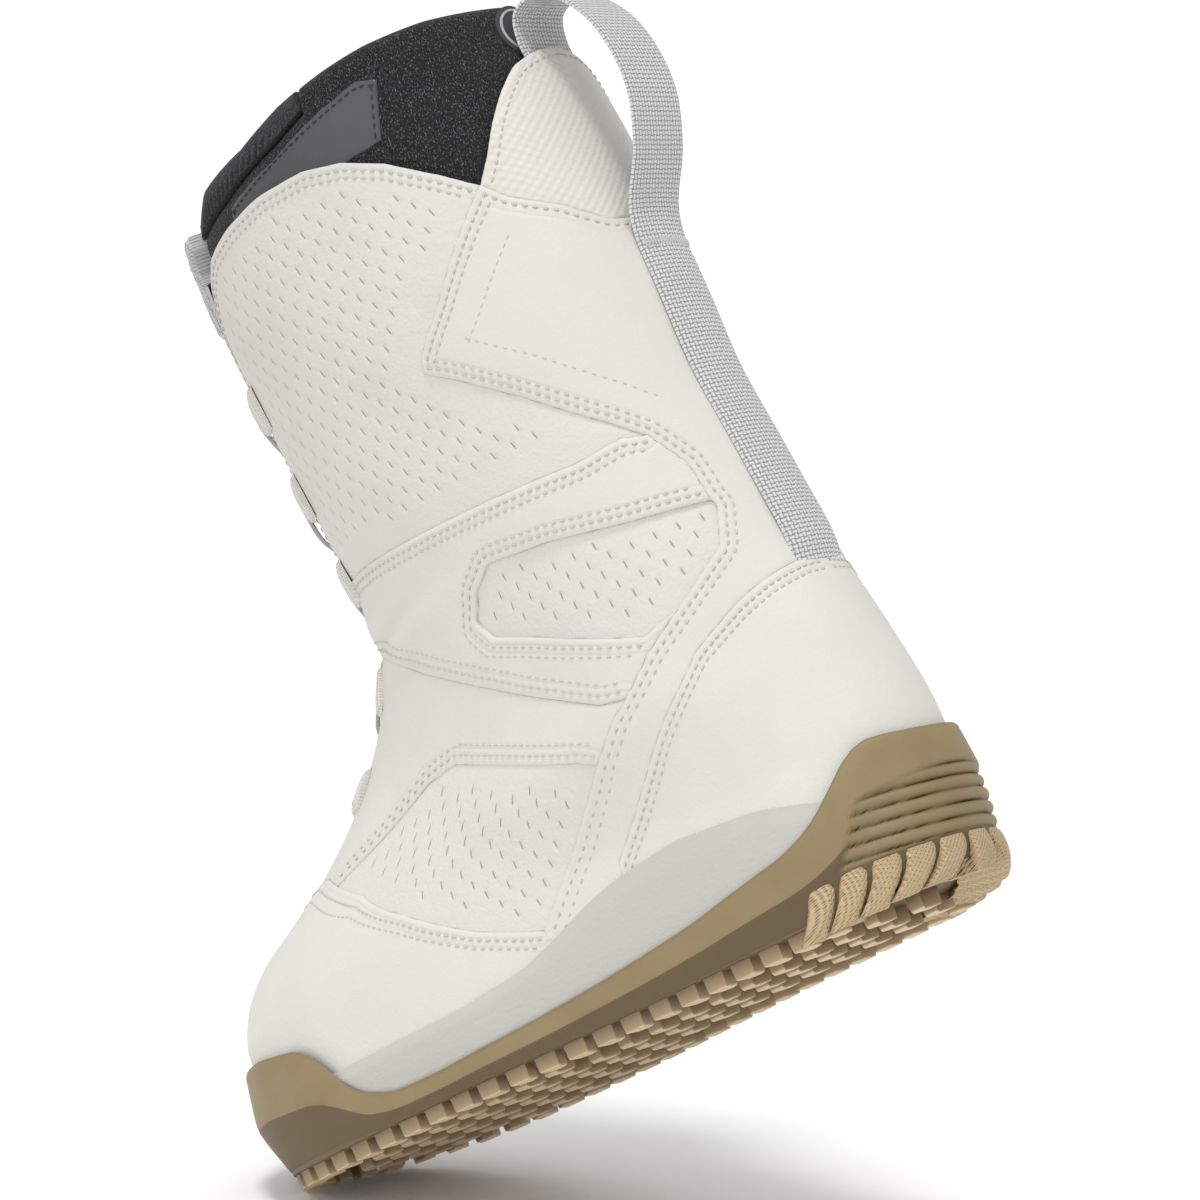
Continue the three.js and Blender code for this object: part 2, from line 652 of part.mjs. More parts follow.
// Sampled by its own points, so that each turn in a guide keeps its shape.
class LaceRoute extends THREE.CatmullRomCurve3 {
  getPointAt(share) {
    return this.getPoint(share);
  }

  getTangentAt(share) {
    return this.getTangent(share);
  }
}

function laceRoute() {
  const last = guideRows.length - 1;
  const first = guideRow(0);
  const sideGoingDown = (row) => (row % 2 === 0 ? 1 : -1);
  const points = [
    reelPoint(laceEndRadius, 50, laceHeight), reelPoint(22, 50, 5.2),
    ...[[-72, 10], [-60, 13], [-49, 15], [-37, 16]].map(([turn, up]) => (
      sidePoint(turn, guideRows[0] + up, 2.2))),
    ...[-24, -12, 0, 12].map((y) => frontPoint(y, first.z + 16 - (y + 24) * 0.16, lowLift)),
  ];
  for (let row = 0; row <= last; row += 1) {
    const side = sideGoingDown(row);
    points.push(...guideTurn(row, side));
    if (row < last) points.push(...crossing(row, side, row + 1, -side, lowLift));
  }
  points.push(frontPoint(0, guideRow(last).z - 0.5 * guideRow(last).half, lowLift));
  for (let row = last; row >= 0; row -= 1) {
    const side = -sideGoingDown(row);
    const turn = guideTurn(row, side).reverse();
    if (row > 0) {
      points.push(...turn, ...crossing(row, side, row - 1, -side, highLift));
    } else {
      points.push(...turn.slice(0, 3));
    }
  }
  const leave = first.z + 0.45 * first.half;
  points.push(
    frontPoint(-first.outer - 3, leave, channelLift),
    sidePoint(-60, leave / gradeZ - 3, 2.6),
    sidePoint(-70, leave / gradeZ - 8, 3),
    reelPoint(22, 12, 5.2),
    reelPoint(laceEndRadius, 12, laceHeight),
  );
  return new LaceRoute(points, false, "centripetal");
}

function laceTube(radius) {
  const circle = new THREE.Shape().absarc(0, 0, radius, 0, 2 * Math.PI).getPoints(3);
  const route = laceRoute();
  return new THREE.ExtrudeGeometry(new THREE.Shape(circle.slice(0, -1)), {
    steps: route.points.length - 1, extrudePath: route,
  });
}

function addLace() {
  addPiece("lace", laceTube(laceRadius), webbingGrey);
}

function addGuides() {
  const skin = layer(seamGap, seamGap + guideThickness);
  const channel = solidOf(laceTube(laceRadius + laceClearance));
  for (let index = 0; index < guideRows.length; index += 1) {
    const { z, half, inner, outer } = guideRow(index);
    const outline = [[inner, -0.9], [inner, 0.9], [inner + 2, 1], [outer - 2, 1], [outer, 0.6],
      [outer, -0.6], [outer - 2, -1], [inner + 2, -1]];
    for (const [side, sign] of [["medial", 1], ["lateral", -1]]) {
      const pad = outline.map(([y, share]) => new THREE.Vector2(sign * y, z + share * half));
      const guide = skin.intersect(frontPrism(pad, 0, footLength)).subtract(channel);
      addSolid(`lace_guide_${side}_${index + 1}`, guide, webbingGrey);
    }
  }
  return channel;
}

// ---- lace reel -----------------------------------------------------------------------
const reelSides = 20;
const baseTop = 2.8;
const housingFloor = [baseTop + seamGap, baseTop + seamGap + 1];
const housingTop = 10.4;
const spoolLow = housingFloor[1] + runningGap;
const spoolHigh = 9.4;
const flange = 0.9;
const wrapRadius = laceEndRadius - runningGap;
const pawlLow = spoolHigh + runningGap;
const pawlHigh = pawlLow + 1.2;
const headRadius = 4.2;
const headHigh = 11.8;
const knobUnder = pawlHigh + runningGap;
const knobTop = 17;
const knobSkirt = 8.5;
const gripRidges = 20;

function turned(profile) {
  const points = profile.map(([r, z]) => new THREE.Vector2(r, z));
  return new THREE.LatheGeometry(points, reelSides).rotateX(Math.PI / 2);
}

function ring(inner, outer, low, high) {
  return turned([[inner, low], [outer, low], [outer, high], [inner, high], [inner, low]]);
}

function disc(radius, low, high) {
  return turned([[0, low], [radius, low], [radius, high], [0, high]]);
}

function addReel(channel) {
  const reel = new THREE.Group();
  reel.applyMatrix4(reelMatrix);
  boot.add(reel);
  const home = reelMatrix.clone().invert();
  const cuff = formSolid(seamGap).transform(home.elements);
  const bore = axleRadius + runningGap;

  const foot = solidOf(disc(reelBaseRadius, -6, baseTop)).subtract(cuff)
    .subtract(solidOf(disc(bore, 0.6, baseTop + 1)));
  addSolid("reel_base", foot, reelGrey, reel);
  const inside = housingRadius - housingWall;
  const housing = turned([[bore, housingFloor[0]], [housingRadius, housingFloor[0]],
    [housingRadius, housingTop], [inside, housingTop], [inside, housingFloor[1]],
    [bore, housingFloor[1]], [bore, housingFloor[0]]]);
  addSolid("reel_housing", solidOf(housing).subtract(channel.transform(home.elements)),
    reelGrey, reel);
  addPiece("reel_screw", turned([[0, 1], [axleRadius, 1], [axleRadius, spoolHigh + runningGap],
    [headRadius, spoolHigh + runningGap], [headRadius, headHigh], [0, headHigh]]), steel, reel);
  addPiece("reel_spool", turned([[bore, spoolLow], [spoolRadius, spoolLow],
    [spoolRadius, spoolLow + flange], [6.4, spoolLow + flange], [6.4, spoolHigh - flange],
    [spoolRadius, spoolHigh - flange], [spoolRadius, spoolHigh], [bore, spoolHigh],
    [bore, spoolLow]]), rubberGrey, reel);
  addPiece("reel_lace_wrap", ring(6.4 + runningGap, wrapRadius, spoolLow + flange + runningGap,
    spoolHigh - flange - runningGap), webbingGrey, reel);
  addPiece("reel_pawl_disc", ring(headRadius + runningGap, inside - 0.8, pawlLow, pawlHigh),
    steel, reel);
  const skirt = housingRadius + runningGap + 0.1;
  addPiece("reel_knob", turned([[0, headHigh + 1], [headRadius + 1, headHigh + 1],
    [headRadius + 1, knobUnder], [skirt, knobUnder], [skirt, knobSkirt], [knobRadius, knobSkirt],
    [knobRadius, knobTop - 1.4], [knobRadius - 1.4, knobTop], [0, knobTop]]), reelGrey, reel);

  const ridges = [];
  for (let i = 0; i < 2 * gripRidges; i += 1) {
    const angle = i / gripRidges * Math.PI;
    const radius = knobRadius + seamGap + gripDepth - (i % 2) * 0.7;
    ridges.push(new THREE.Vector2(radius * Math.cos(angle), radius * Math.sin(angle)));
  }
  const grip = new THREE.Shape(ridges);
  grip.holes.push(new THREE.Path().absarc(0, 0, knobRadius + seamGap, 0, 2 * Math.PI, true));
  const rubber = new THREE.ExtrudeGeometry(grip, { depth: 5.5, bevelEnabled: false,
    curveSegments: reelSides });
  rubber.translate(0, 0, knobTop - 1.8 - 5.5);
  addPiece("reel_grip", rubber, rubberGrey, reel);
}

// ---- rear webbing --------------------------------------------------------------------
function addWebbing() {
  const half = webbingWidth / 2;
  const strap = layer(seamGap, seamGap + webbingThickness)
    .intersect(rearPrism(half, webbingLow, loopRoot + 8));
  const tuckOuter = upperInner - seamGap;
  const tuck = layer(tuckOuter - webbingThickness, tuckOuter)
    .intersect(rearPrism(half, loopTuck, 305));

  // The loop in side view: how far it stands off the back of the form at each height.
  const lowOff = seamGap + webbingThickness / 2;
  const stations = [[loopRoot, lowOff], [238, 0.2 * loopReach], [254, 0.62 * loopReach],
    [270, 0.92 * loopReach], [286, loopReach], [299, 0.93 * loopReach], [309, 0.7 * loopReach],
    [314, 0.35 * loopReach], [312, 0.05 * loopReach], [303, tuckOuter - webbingThickness / 2]];
  const middle = new THREE.SplineCurve(stations.map(([level, off]) => new THREE.Vector2(
    backAt(level * gradeZ) - off, level * gradeZ,
  )));
  const edges = [1, -1].map((sign) => middle.getSpacedPoints(26).map((point, i) => {
    const tangent = middle.getTangentAt(i / 26);
    return point.addScaledVector(new THREE.Vector2(-tangent.y, tangent.x),
      sign * webbingThickness / 2);
  }));
  const loop = sidePrism([...edges[0], ...edges[1].reverse()], -half, half);
  addSolid("rear_webbing", join([strap, loop, tuck]), webbingGrey);
}

addSole();
addShell();
addLiner();
addTongue();
addLace();
addReel(addGuides());
addWebbing();
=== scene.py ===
"""Looks of the snowboard boot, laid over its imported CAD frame.

Lengths are millimetres until a mesh is made. Angles run round the boot from the toe.
"""
import math

import bpy
import numpy as np
from mathutils import Matrix, Vector, kdtree
from mathutils.geometry import delaunay_2d_cdt


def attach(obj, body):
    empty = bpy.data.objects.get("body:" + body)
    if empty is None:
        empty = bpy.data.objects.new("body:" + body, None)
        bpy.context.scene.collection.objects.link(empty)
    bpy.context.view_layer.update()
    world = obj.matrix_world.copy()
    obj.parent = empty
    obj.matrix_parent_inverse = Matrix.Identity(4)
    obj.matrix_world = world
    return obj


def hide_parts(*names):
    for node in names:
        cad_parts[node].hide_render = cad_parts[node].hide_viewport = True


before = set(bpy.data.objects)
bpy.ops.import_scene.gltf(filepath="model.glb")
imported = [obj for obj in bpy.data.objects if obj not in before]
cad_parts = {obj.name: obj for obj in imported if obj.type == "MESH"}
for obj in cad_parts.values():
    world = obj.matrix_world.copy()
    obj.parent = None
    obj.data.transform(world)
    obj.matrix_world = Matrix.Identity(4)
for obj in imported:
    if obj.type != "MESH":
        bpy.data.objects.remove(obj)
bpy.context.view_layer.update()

MM = 0.001
SIDES = (("medial", 1), ("lateral", -1))


# ---- the boot's outer form ---------------------------------------------------------------
def smooth_curve(points):
    """A curve through (position, value) points that doesn't overshoot between them."""
    xs, ys = np.array(points, float).T
    steps = np.diff(ys) / np.diff(xs)
    before = np.concatenate([steps[:1], steps])
    after = np.concatenate([steps, steps[-1:]])
    same_way = before * after > 0
    slopes = np.where(same_way, 2 * before * after / np.where(same_way, before + after, 1), 0)

    def value(position):
        x = np.asarray(position, float)
        held = np.clip(x, xs[0], xs[-1])
        i = np.clip(np.searchsorted(xs, held, side="right") - 1, 0, len(xs) - 2)
        width = xs[i + 1] - xs[i]
        u = (held - xs[i]) / width
        rise = u * u * (3 - 2 * u)
        bend = width * u * (1 - u) * (slopes[i] * (1 - u) - slopes[i + 1] * u)
        past = (x - held) * np.where(x < xs[0], slopes[0], slopes[-1])
        return ys[i] * (1 - rise) + ys[i + 1] * rise + bend + past

    return value


FRONT = smooth_curve([(8, 138), (30, 142), (50, 142), (58, 140), (66, 136), (74, 128), (82, 113),
                      (98, 86), (114, 65), (130, 48), (142, 39), (156, 35.5), (196, 40.5),
                      (244, 46.5), (268, 49.5), (335, 50)])
BACK = smooth_curve([(8, -141), (30, -143.5), (56, -143), (88, -137.5), (121, -130),
                     (154, -124.5), (186, -119.5), (218, -118), (250, -114.5), (284, -109.5),
                     (310, -104.5), (335, -101)])
HALF_WIDTH = smooth_curve([(8, 48), (30, 51), (55, 50), (80, 47), (105, 45), (130, 46), (155, 48),
                           (185, 51), (220, 54), (263, 56), (335, 58)])
SQUARENESS = smooth_curve([(8, 5.5), (50, 5), (75, 4.2), (100, 3.4), (130, 2.6), (160, 2.2),
                           (335, 2.1)])
FOOT_PLAN = smooth_curve([(0, 0.8), (0.12, 0.82), (0.3, 0.8), (0.45, 0.86), (0.62, 0.99),
                          (0.78, 1), (0.9, 0.97), (1, 0.92)])
INSTEP_PLAN = smooth_curve([(0, 0.92), (0.15, 0.96), (0.4, 1), (0.6, 0.95), (0.8, 0.85),
                            (1, 0.75)])
LEG_PLAN = smooth_curve([(0, 0.96), (0.3, 1), (0.6, 1), (1, 0.96)])
TOE_SWING = 3
THROAT_LINE = smooth_curve([(88, 12), (130, 15), (180, 19), (230, 23), (262, 29), (300, 33)])
THROAT_BOTTOM = 88


def blend(low, high, value):
    share = np.clip((np.asarray(value, float) - low) / (high - low), 0, 1)
    return share * share * (3 - 2 * share)


def form_point(angle, z):
    """Points of the outer form: angle round the boot from the toe, and height."""
    angle, z = np.broadcast_arrays(np.asarray(angle, float), np.asarray(z, float))
    front, back, along = FRONT(z), BACK(z), np.cos(angle)
    t = (1 + along) / 2
    foot_share = blend(50, 90, z)
    leg_share = blend(105, 150, z)
    plan = (FOOT_PLAN(t) * (1 - foot_share) + INSTEP_PLAN(t) * foot_share) * (1 - leg_share)
    plan = plan + LEG_PLAN(t) * leg_share
    fill = np.sqrt(np.clip(1 - np.abs(along) ** SQUARENESS(z), 0, 1))
    swing = TOE_SWING * blend(0.45, 1, t) * (1 - blend(60, 110, z))
    x = (front + back) / 2 + (front - back) / 2 * along
    y = swing + np.sign(np.sin(angle)) * HALF_WIDTH(z) * plan * fill
    return np.stack([x, y, z], -1)


def form_normal(angle, z):
    turn, rise = 0.03, 1.5
    across = form_point(angle + turn, z) - form_point(angle - turn, z)
    up = form_point(angle, z + rise) - form_point(angle, z - rise)
    normal = np.cross(across, up)
    return normal / np.linalg.norm(normal, axis=-1, keepdims=True)


def on_form(angle, z, offset):
    angle, z, offset = np.broadcast_arrays(angle, z, offset)
    return form_point(angle, z) + form_normal(angle, z) * offset[..., None]


def angle_across(y, z, towards=1):
    """How far round from the toe (towards 1) or the heel (-1) the form has this y."""
    y, z = np.broadcast_arrays(np.asarray(y, float), np.asarray(z, float))
    low, high = np.full(y.shape, -1.5), np.full(y.shape, 1.5)
    for _ in range(30):
        middle = (low + high) / 2
        angle = middle if towards > 0 else math.pi - middle
        short = form_point(angle, z)[..., 1] < y
        low = np.where(short, middle, low)
        high = np.where(short, high, middle)
    return (low + high) / 2


def front_angle(y, z):
    return angle_across(y, z)


def rear_angle(y, z):
    return math.pi - angle_across(y, z, -1)


def throat_angle(z):
    z = np.asarray(z, float)
    angle = front_angle(THROAT_LINE(z), z)
    return np.where(z > THROAT_BOTTOM + 0.2, angle, 0)


# ---- meshes --------------------------------------------------------------------------------
def add_mesh(name, points, faces, material, body, replaces=(), attributes=None, crease=50):
    """A smooth-shaded mesh from points in millimetres, riding on a CAD body."""
    mesh = bpy.data.meshes.new(name)
    mesh.from_pydata((np.asarray(points) * MM).tolist(), [], faces)
    for key, values in (attributes or {}).items():
        values = np.asarray(values, np.float32)
        kind = "FLOAT" if values.ndim == 1 else "FLOAT_VECTOR"
        field = "value" if values.ndim == 1 else "vector"
        mesh.attributes.new(key, kind, "POINT").data.foreach_set(field, values.ravel())
    mesh.shade_smooth()
    mesh.set_sharp_from_angle(angle=math.radians(crease))
    mesh.materials.append(material)
    piece = bpy.data.objects.new(name, mesh)
    bpy.context.scene.collection.objects.link(piece)
    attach(piece, body)
    if replaces:
        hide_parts(*replaces)
    return piece


def grid_faces(rows, columns, wrap_rows=False, wrap_columns=False, start=0):
    faces = []
    for i in range(rows if wrap_rows else rows - 1):
        for j in range(columns if wrap_columns else columns - 1):
            a = start + i * columns + j
            b = start + i * columns + (j + 1) % columns
            c = start + (i + 1) % rows * columns + (j + 1) % columns
            d = start + (i + 1) % rows * columns + j
            faces.append((a, b, c, d))
    return faces


def cap_faces(rows, columns):
    """Faces that close both ends of a swept loop whose first and last halves face each other."""
    faces = []
    for i in range(rows // 2 - 1):
        pair = (i, i + 1, rows - 2 - i, rows - 1 - i)
        faces.append(tuple(k * columns for k in pair))
        faces.append(tuple(k * columns + columns - 1 for k in reversed(pair)))
    return faces


def two_sided(rows, columns):
    """Faces of a slab: one grid, the same grid turned over, and a wall round their edges."""
    count = rows * columns
    faces = grid_faces(rows, columns)
    faces += [tuple(reversed(face)) for face in grid_faces(rows, columns, start=count)]
    border = [*range(columns), *range(2 * columns - 1, count, columns),
              *range(count - 2, count - columns - 1, -1),
              *range(count - 2 * columns, 0, -columns)]
    for a, b in zip(border, border[1:] + border[:1]):
        faces.append((b, a, a + count, b + count))
    return faces


def closed_shell(top, bottom, triangles):
    """Points and faces of a sheet with a face side, a back side and a wall round its edge."""
    count = len(top)
    edges = {}
    for a, b, c in triangles:
        for edge in ((a, b), (b, c), (c, a)):
            edges[edge] = True
    walls = [(b, a, a + count, b + count) for a, b in edges if (b, a) not in edges]
    back = [(c + count, b + count, a + count) for a, b, c in triangles]
    return np.concatenate([top, bottom]), list(triangles) + back + walls


TUBE_SIDES = 10


def ring_faces(rings, sides):
    """Faces of a stack of rings that is closed at both ends."""
    last = (rings - 1) * sides
    faces = grid_faces(rings, sides, wrap_columns=True)
    return faces + [tuple(reversed(range(sides))), tuple(range(last, last + sides))]


def swept_tube(path, radius):
    """Points and faces of a closed round tube along a path."""
    path = np.asarray(path, float)
    tangents = np.gradient(path, axis=0)
    tangents /= np.linalg.norm(tangents, axis=1, keepdims=True)
    side = np.cross(tangents[0], (0.0, 0.0, 1.0))
    rings = []
    for point, tangent in zip(path, tangents):
        side = side - tangent * side.dot(tangent)
        side /= np.linalg.norm(side)
        other = np.cross(tangent, side)
        turns = np.arange(TUBE_SIDES) / TUBE_SIDES * 2 * math.pi
        rings.append(point + radius * (np.cos(turns)[:, None] * side
                                       + np.sin(turns)[:, None] * other))
    return np.concatenate(rings), ring_faces(len(path), TUBE_SIDES)


def resampled(points, pitch):
    """Points at an even pitch along a path of any dimension."""
    points = np.asarray(points, float)
    lengths = np.concatenate([[0], np.cumsum(np.linalg.norm(np.diff(points, axis=0), axis=1))])
    count = max(int(round(lengths[-1] / pitch)), 1)
    at = np.linspace(0, lengths[-1], count + 1)
    return np.stack([np.interp(at, lengths, column) for column in points.T], -1)


# ---- materials -----------------------------------------------------------------------------
def linear(*rgb):
    """A colour given in display values from 0 to 255."""
    return tuple((c / 255) ** 2.2 for c in rgb) + (1.0,)


class Shader:
    """A Principled material, with short ways to add the nodes that its finish needs."""

    def __init__(self, name, color, roughness):
        self.material = bpy.data.materials.new(name)
        self.material.use_nodes = True
        self.tree = self.material.node_tree
        self.surface = self.tree.nodes["Principled BSDF"]
        self.surface.inputs["Base Color"].default_value = color
        self.surface.inputs["Roughness"].default_value = roughness
        self.place = self.tree.nodes.new("ShaderNodeTexCoord").outputs["Object"]
        self.bumped = None

    def node(self, kind, **settings):
        made = self.tree.nodes.new(kind)
        for key, value in settings.items():
            setattr(made, key, value)
        return made

    def link(self, source, target):
        self.tree.links.new(source, target)

    def feed(self, socket, value):
        if isinstance(value, bpy.types.NodeSocket):
            self.link(value, socket)
        else:
            socket.default_value = value

    def math(self, operation, a, b=0.0):
        made = self.node("ShaderNodeMath", operation=operation)
        self.feed(made.inputs[0], a)
        self.feed(made.inputs[1], b)
        return made.outputs[0]

    def scaled(self, value, low, high, to_low=0.0, to_high=1.0):
        made = self.node("ShaderNodeMapRange", clamp=True)
        self.feed(made.inputs["Value"], value)
        for key, number in (("From Min", low), ("From Max", high), ("To Min", to_low),
                            ("To Max", to_high)):
            made.inputs[key].default_value = number
        return made.outputs["Result"]

    def attribute(self, name, vector=False):
        made = self.node("ShaderNodeAttribute", attribute_name=name)
        return made.outputs["Vector" if vector else "Fac"]

    def noise(self, scale, detail=3.0, stretch=None):
        made = self.node("ShaderNodeTexNoise")
        made.inputs["Scale"].default_value = scale
        made.inputs["Detail"].default_value = detail
        self.link(self.stretched(stretch), made.inputs["Vector"])
        return made.outputs["Fac"]

    def cells(self, scale, stretch=None):
        made = self.node("ShaderNodeTexVoronoi")
        made.inputs["Scale"].default_value = scale
        self.link(self.stretched(stretch), made.inputs["Vector"])
        return made.outputs["Distance"]

    def stretched(self, stretch):
        """The object's own coordinates, scaled unevenly if a stretch is given."""
        if stretch is None:
            return self.place
        made = self.node("ShaderNodeMapping")
        made.inputs["Scale"].default_value = stretch
        self.link(self.place, made.inputs["Vector"])
        return made.outputs["Vector"]

    def tint(self, share, color):
        """Mixes the base colour towards another by a share."""
        made = self.node("ShaderNodeMix", data_type="RGBA")
        base = self.surface.inputs["Base Color"]
        self.link(share, made.inputs[0])
        if base.is_linked:
            self.link(base.links[0].from_socket, made.inputs[6])
        else:
            made.inputs[6].default_value = base.default_value
        made.inputs[7].default_value = color
        self.link(made.outputs[2], base)

    def bump(self, height, depth):
        """Adds a bump whose height of 1 stands for a depth in millimetres."""
        made = self.node("ShaderNodeBump")
        made.inputs["Distance"].default_value = depth * MM
        self.link(height, made.inputs["Height"])
        if self.bumped is not None:
            self.link(self.bumped, made.inputs["Normal"])
        self.bumped = made.outputs["Normal"]
        self.link(self.bumped, self.surface.inputs["Normal"])

    def rough(self, value, low, high):
        self.link(self.scaled(value, 0.3, 0.7, low, high), self.surface.inputs["Roughness"])


def leather(name, color, dark, grain, dots=0.0):
    """Coated synthetic leather, with seam pucker beside its stitch rows and painted shade in its
    slits.
    """
    made = Shader(name, color, 0.5)
    # Painted shade in the slits, deepest where they are deepest.
    made.tint(made.scaled(made.attribute("painted_shade"), 0.15, 0.9), dark)
    made.tint(made.scaled(made.noise(38), 0.45, 0.8, 0, 0.12), dark)
    made.rough(made.noise(90), 0.44, 0.58)
    seam = made.attribute("seam")
    for row in STITCH_ROWS:
        off = made.math("ABSOLUTE", made.math("SUBTRACT", seam, row))
        made.bump(made.scaled(off, 0, 0.9), 0.16)
    if dots:
        split = made.node("ShaderNodeSeparateXYZ")
        made.link(made.place, split.inputs[0])
        waves = [made.math("SINE", made.math("MULTIPLY", split.outputs[axis],
                                             math.pi / (dots * MM))) for axis in ("Y", "Z")]
        made.bump(made.math("MULTIPLY", *waves), 0.12)
    made.bump(made.cells(900), 0.05 * grain)
    made.bump(made.noise(420, 4), 0.12 * grain)
    return made.material


def rand_finish():
    """Moulded foam of the midsole band, faintly uneven."""
    made = Shader("rand_foam", linear(188, 188, 180), 0.62)
    made.tint(made.scaled(made.noise(60), 0.4, 0.8, 0, 0.15), linear(176, 176, 168))
    made.bump(made.noise(260, 3, stretch=(1, 1, 3)), 0.16)
    made.bump(made.noise(700, 4), 0.14)
    return made.material


def gum_finish(name, color, worn, dark):
    """Translucent rubber, with painted shade in its recesses and blotched with a worn colour."""
    made = Shader(name, color, 0.55)
    made.tint(made.scaled(made.noise(55, 5), 0.42, 0.75, 0, 0.5), worn)
    # Painted shade towards the dark colour where the mesh marks it: recesses, lug roots, the
    # wall's lower half and its inside.
    made.tint(made.scaled(made.attribute("painted_shade"), 0, 1, 0, 0.85), dark)
    made.surface.inputs["Subsurface Weight"].default_value = 0.05
    made.bump(made.noise(700, 4), 0.12)
    return made.material


def knurled():
    """Rubber with two crossed sets of fine grooves."""
    made = Shader("gum_knurled", linear(196, 171, 132), 0.55)
    for lean in (1, -1):
        lines = made.node("ShaderNodeTexWave", bands_direction="DIAGONAL")
        lines.inputs["Scale"].default_value = 420
        made.link(made.stretched((0.3, lean, 1)), lines.inputs["Vector"])
        made.bump(lines.outputs["Fac"], 0.35)
    made.bump(made.noise(700, 4), 0.1)
    return made.material


def woven(name, color, dark, pitch, depth):
    """Basket weave on the vector attribute weave, which is in millimetres."""
    made = Shader(name, color, 0.85)
    made.surface.inputs["Sheen Weight"].default_value = 0.3
    split = made.node("ShaderNodeSeparateXYZ")
    made.link(made.attribute("weave", True), split.inputs[0])
    x = made.math("MULTIPLY", split.outputs["X"], 1 / pitch)
    y = made.math("MULTIPLY", split.outputs["Y"], 1 / pitch)
    odd = made.math("MODULO", made.math("ADD", made.math("FLOOR", x), made.math("FLOOR", y)), 2.0)
    odd = made.math("ABSOLUTE", odd)
    across = made.math("ABSOLUTE", made.math("SINE", made.math("MULTIPLY", x, math.pi)))
    along = made.math("ABSOLUTE", made.math("SINE", made.math("MULTIPLY", y, math.pi)))
    height = made.math("ADD", made.math("MULTIPLY", across, odd),
                       made.math("MULTIPLY", along, made.math("SUBTRACT", 1.0, odd)))
    both = made.math("MULTIPLY", height, made.math("MINIMUM", 1.0, made.math(
        "ADD", across, along)))
    # Painted shade in the hollows between the threads.
    made.tint(made.scaled(both, 0.15, 0.75, 1, 0), dark)
    made.bump(both, depth)
    made.bump(made.noise(1500, 3), 0.12)
    return made.material


def brushed_fabric(name, color, fleck):
    """Soft knit with light flecks."""
    made = Shader(name, color, 0.9)
    made.surface.inputs["Sheen Weight"].default_value = 0.06
    grain = made.noise(2600, 4, stretch=(1, 1, 0.5))
    made.tint(made.scaled(grain, 0.54, 0.72, 0, 0.8), fleck)
    made.bump(grain, 0.3)
    made.bump(made.cells(1300, (1, 1, 0.6)), 0.25)
    return made.material


def net(name, color, dark):
    """Fine open mesh, glittering where its threads turn."""
    made = Shader(name, color, 0.4)
    holes = made.cells(620)
    # Painted shade in the mesh's holes.
    made.tint(made.scaled(holes, 0.3, 0.5, 1, 0), dark)
    made.bump(holes, 0.5)
    return made.material


def plain(name, color, roughness, metallic=0.0, grain=0.05, scale=600, sheen=0.0):
    """One colour with a fine grain and slightly uneven roughness."""
    made = Shader(name, color, roughness)
    made.surface.inputs["Metallic"].default_value = metallic
    made.surface.inputs["Sheen Weight"].default_value = sheen
    made.rough(made.noise(120), roughness - 0.05, roughness + 0.08)
    made.bump(made.noise(scale, 3), grain)
    return made.material


STITCH_ROWS = (2.4, 5.0)
# The second colour of each leather is the painted shade in any slits, and also its random
# mottling.
SMOOTH = leather("shell_smooth", linear(213, 213, 205), linear(176, 174, 162), 1.0)
TEXTURED = leather("shell_textured", linear(214, 213, 205), linear(168, 166, 154), 2.0)
EMBOSSED = leather("spoiler_embossed", linear(214, 213, 205), linear(176, 174, 162), 1.0, 1.6)
RAND = rand_finish()
# The last colour of each gum is its painted shade.
GUM = gum_finish("gum_rubber", linear(142, 123, 89), linear(128, 107, 74), linear(76, 59, 33))
LUG = gum_finish("gum_lug", linear(212, 186, 148), linear(192, 165, 126), linear(72, 54, 30))
KNURL = knurled()
# The second colour of each weave is the painted shade in its hollows.
WEBBING = woven("webbing", linear(214, 214, 213), linear(138, 139, 140), 1.5, 0.45)
LACE = woven("lace_cord", linear(205, 205, 200), linear(130, 130, 126), 0.5, 0.15)
THREAD = plain("thread", linear(196, 194, 182), 0.7, grain=0.1, scale=2500)
TACK = plain("tack_thread", linear(190, 191, 192), 0.8, grain=0.1, scale=2500)
LINER = brushed_fabric("liner_fabric", linear(18, 18, 20), linear(118, 118, 122))
KNIT = brushed_fabric("liner_knit", linear(44, 44, 46), linear(96, 96, 100))
GLOSS = plain("liner_gloss", linear(74, 75, 78), 0.28, grain=0.04)
LINER_THREAD = plain("liner_thread", linear(58, 58, 60), 0.7, grain=0.1, scale=2500)
RING = plain("badge_ring", linear(176, 177, 178), 0.4)
LINING = plain("lining_textile", linear(120, 121, 120), 0.95, grain=0.3, scale=900, sheen=0.3)
BOARD = plain("board_fibre", linear(176, 152, 112), 0.85, grain=0.2, scale=700)
SHANK = plain("shank_composite", linear(46, 47, 50), 0.45)
# Its second colour is the painted shade in the weave's hollows.
GUIDE = woven("guide_textile", linear(224, 223, 215), linear(194, 193, 184), 0.8, 0.15)
TEXTURED_TONGUE = plain("tongue_cloth", linear(216, 215, 207), 0.7, grain=0.25, scale=700)
# Its second colour is the painted shade in the weave's hollows.
BINDING = woven("trim_binding", linear(200, 201, 201), linear(150, 151, 152), 0.9, 0.12)
FOOTBED = brushed_fabric("footbed_cloth", linear(52, 54, 58), linear(96, 98, 102))
FOAM = plain("foam", linear(150, 150, 147), 0.95, grain=0.3, scale=1200, sheen=0.2)
# Its second colour is the painted shade in the holes.
MESH = net("mesh_insert", linear(214, 214, 212), linear(120, 120, 120))
PLASTIC = plain("reel_plastic", linear(205, 205, 200), 0.38, grain=0.02)
RUBBER = plain("reel_rubber", linear(120, 120, 116), 0.75, grain=0.08)
INNER = plain("reel_inner", linear(70, 70, 72), 0.45)
STEEL = plain("steel", linear(180, 181, 184), 0.28, 1.0, grain=0.01)

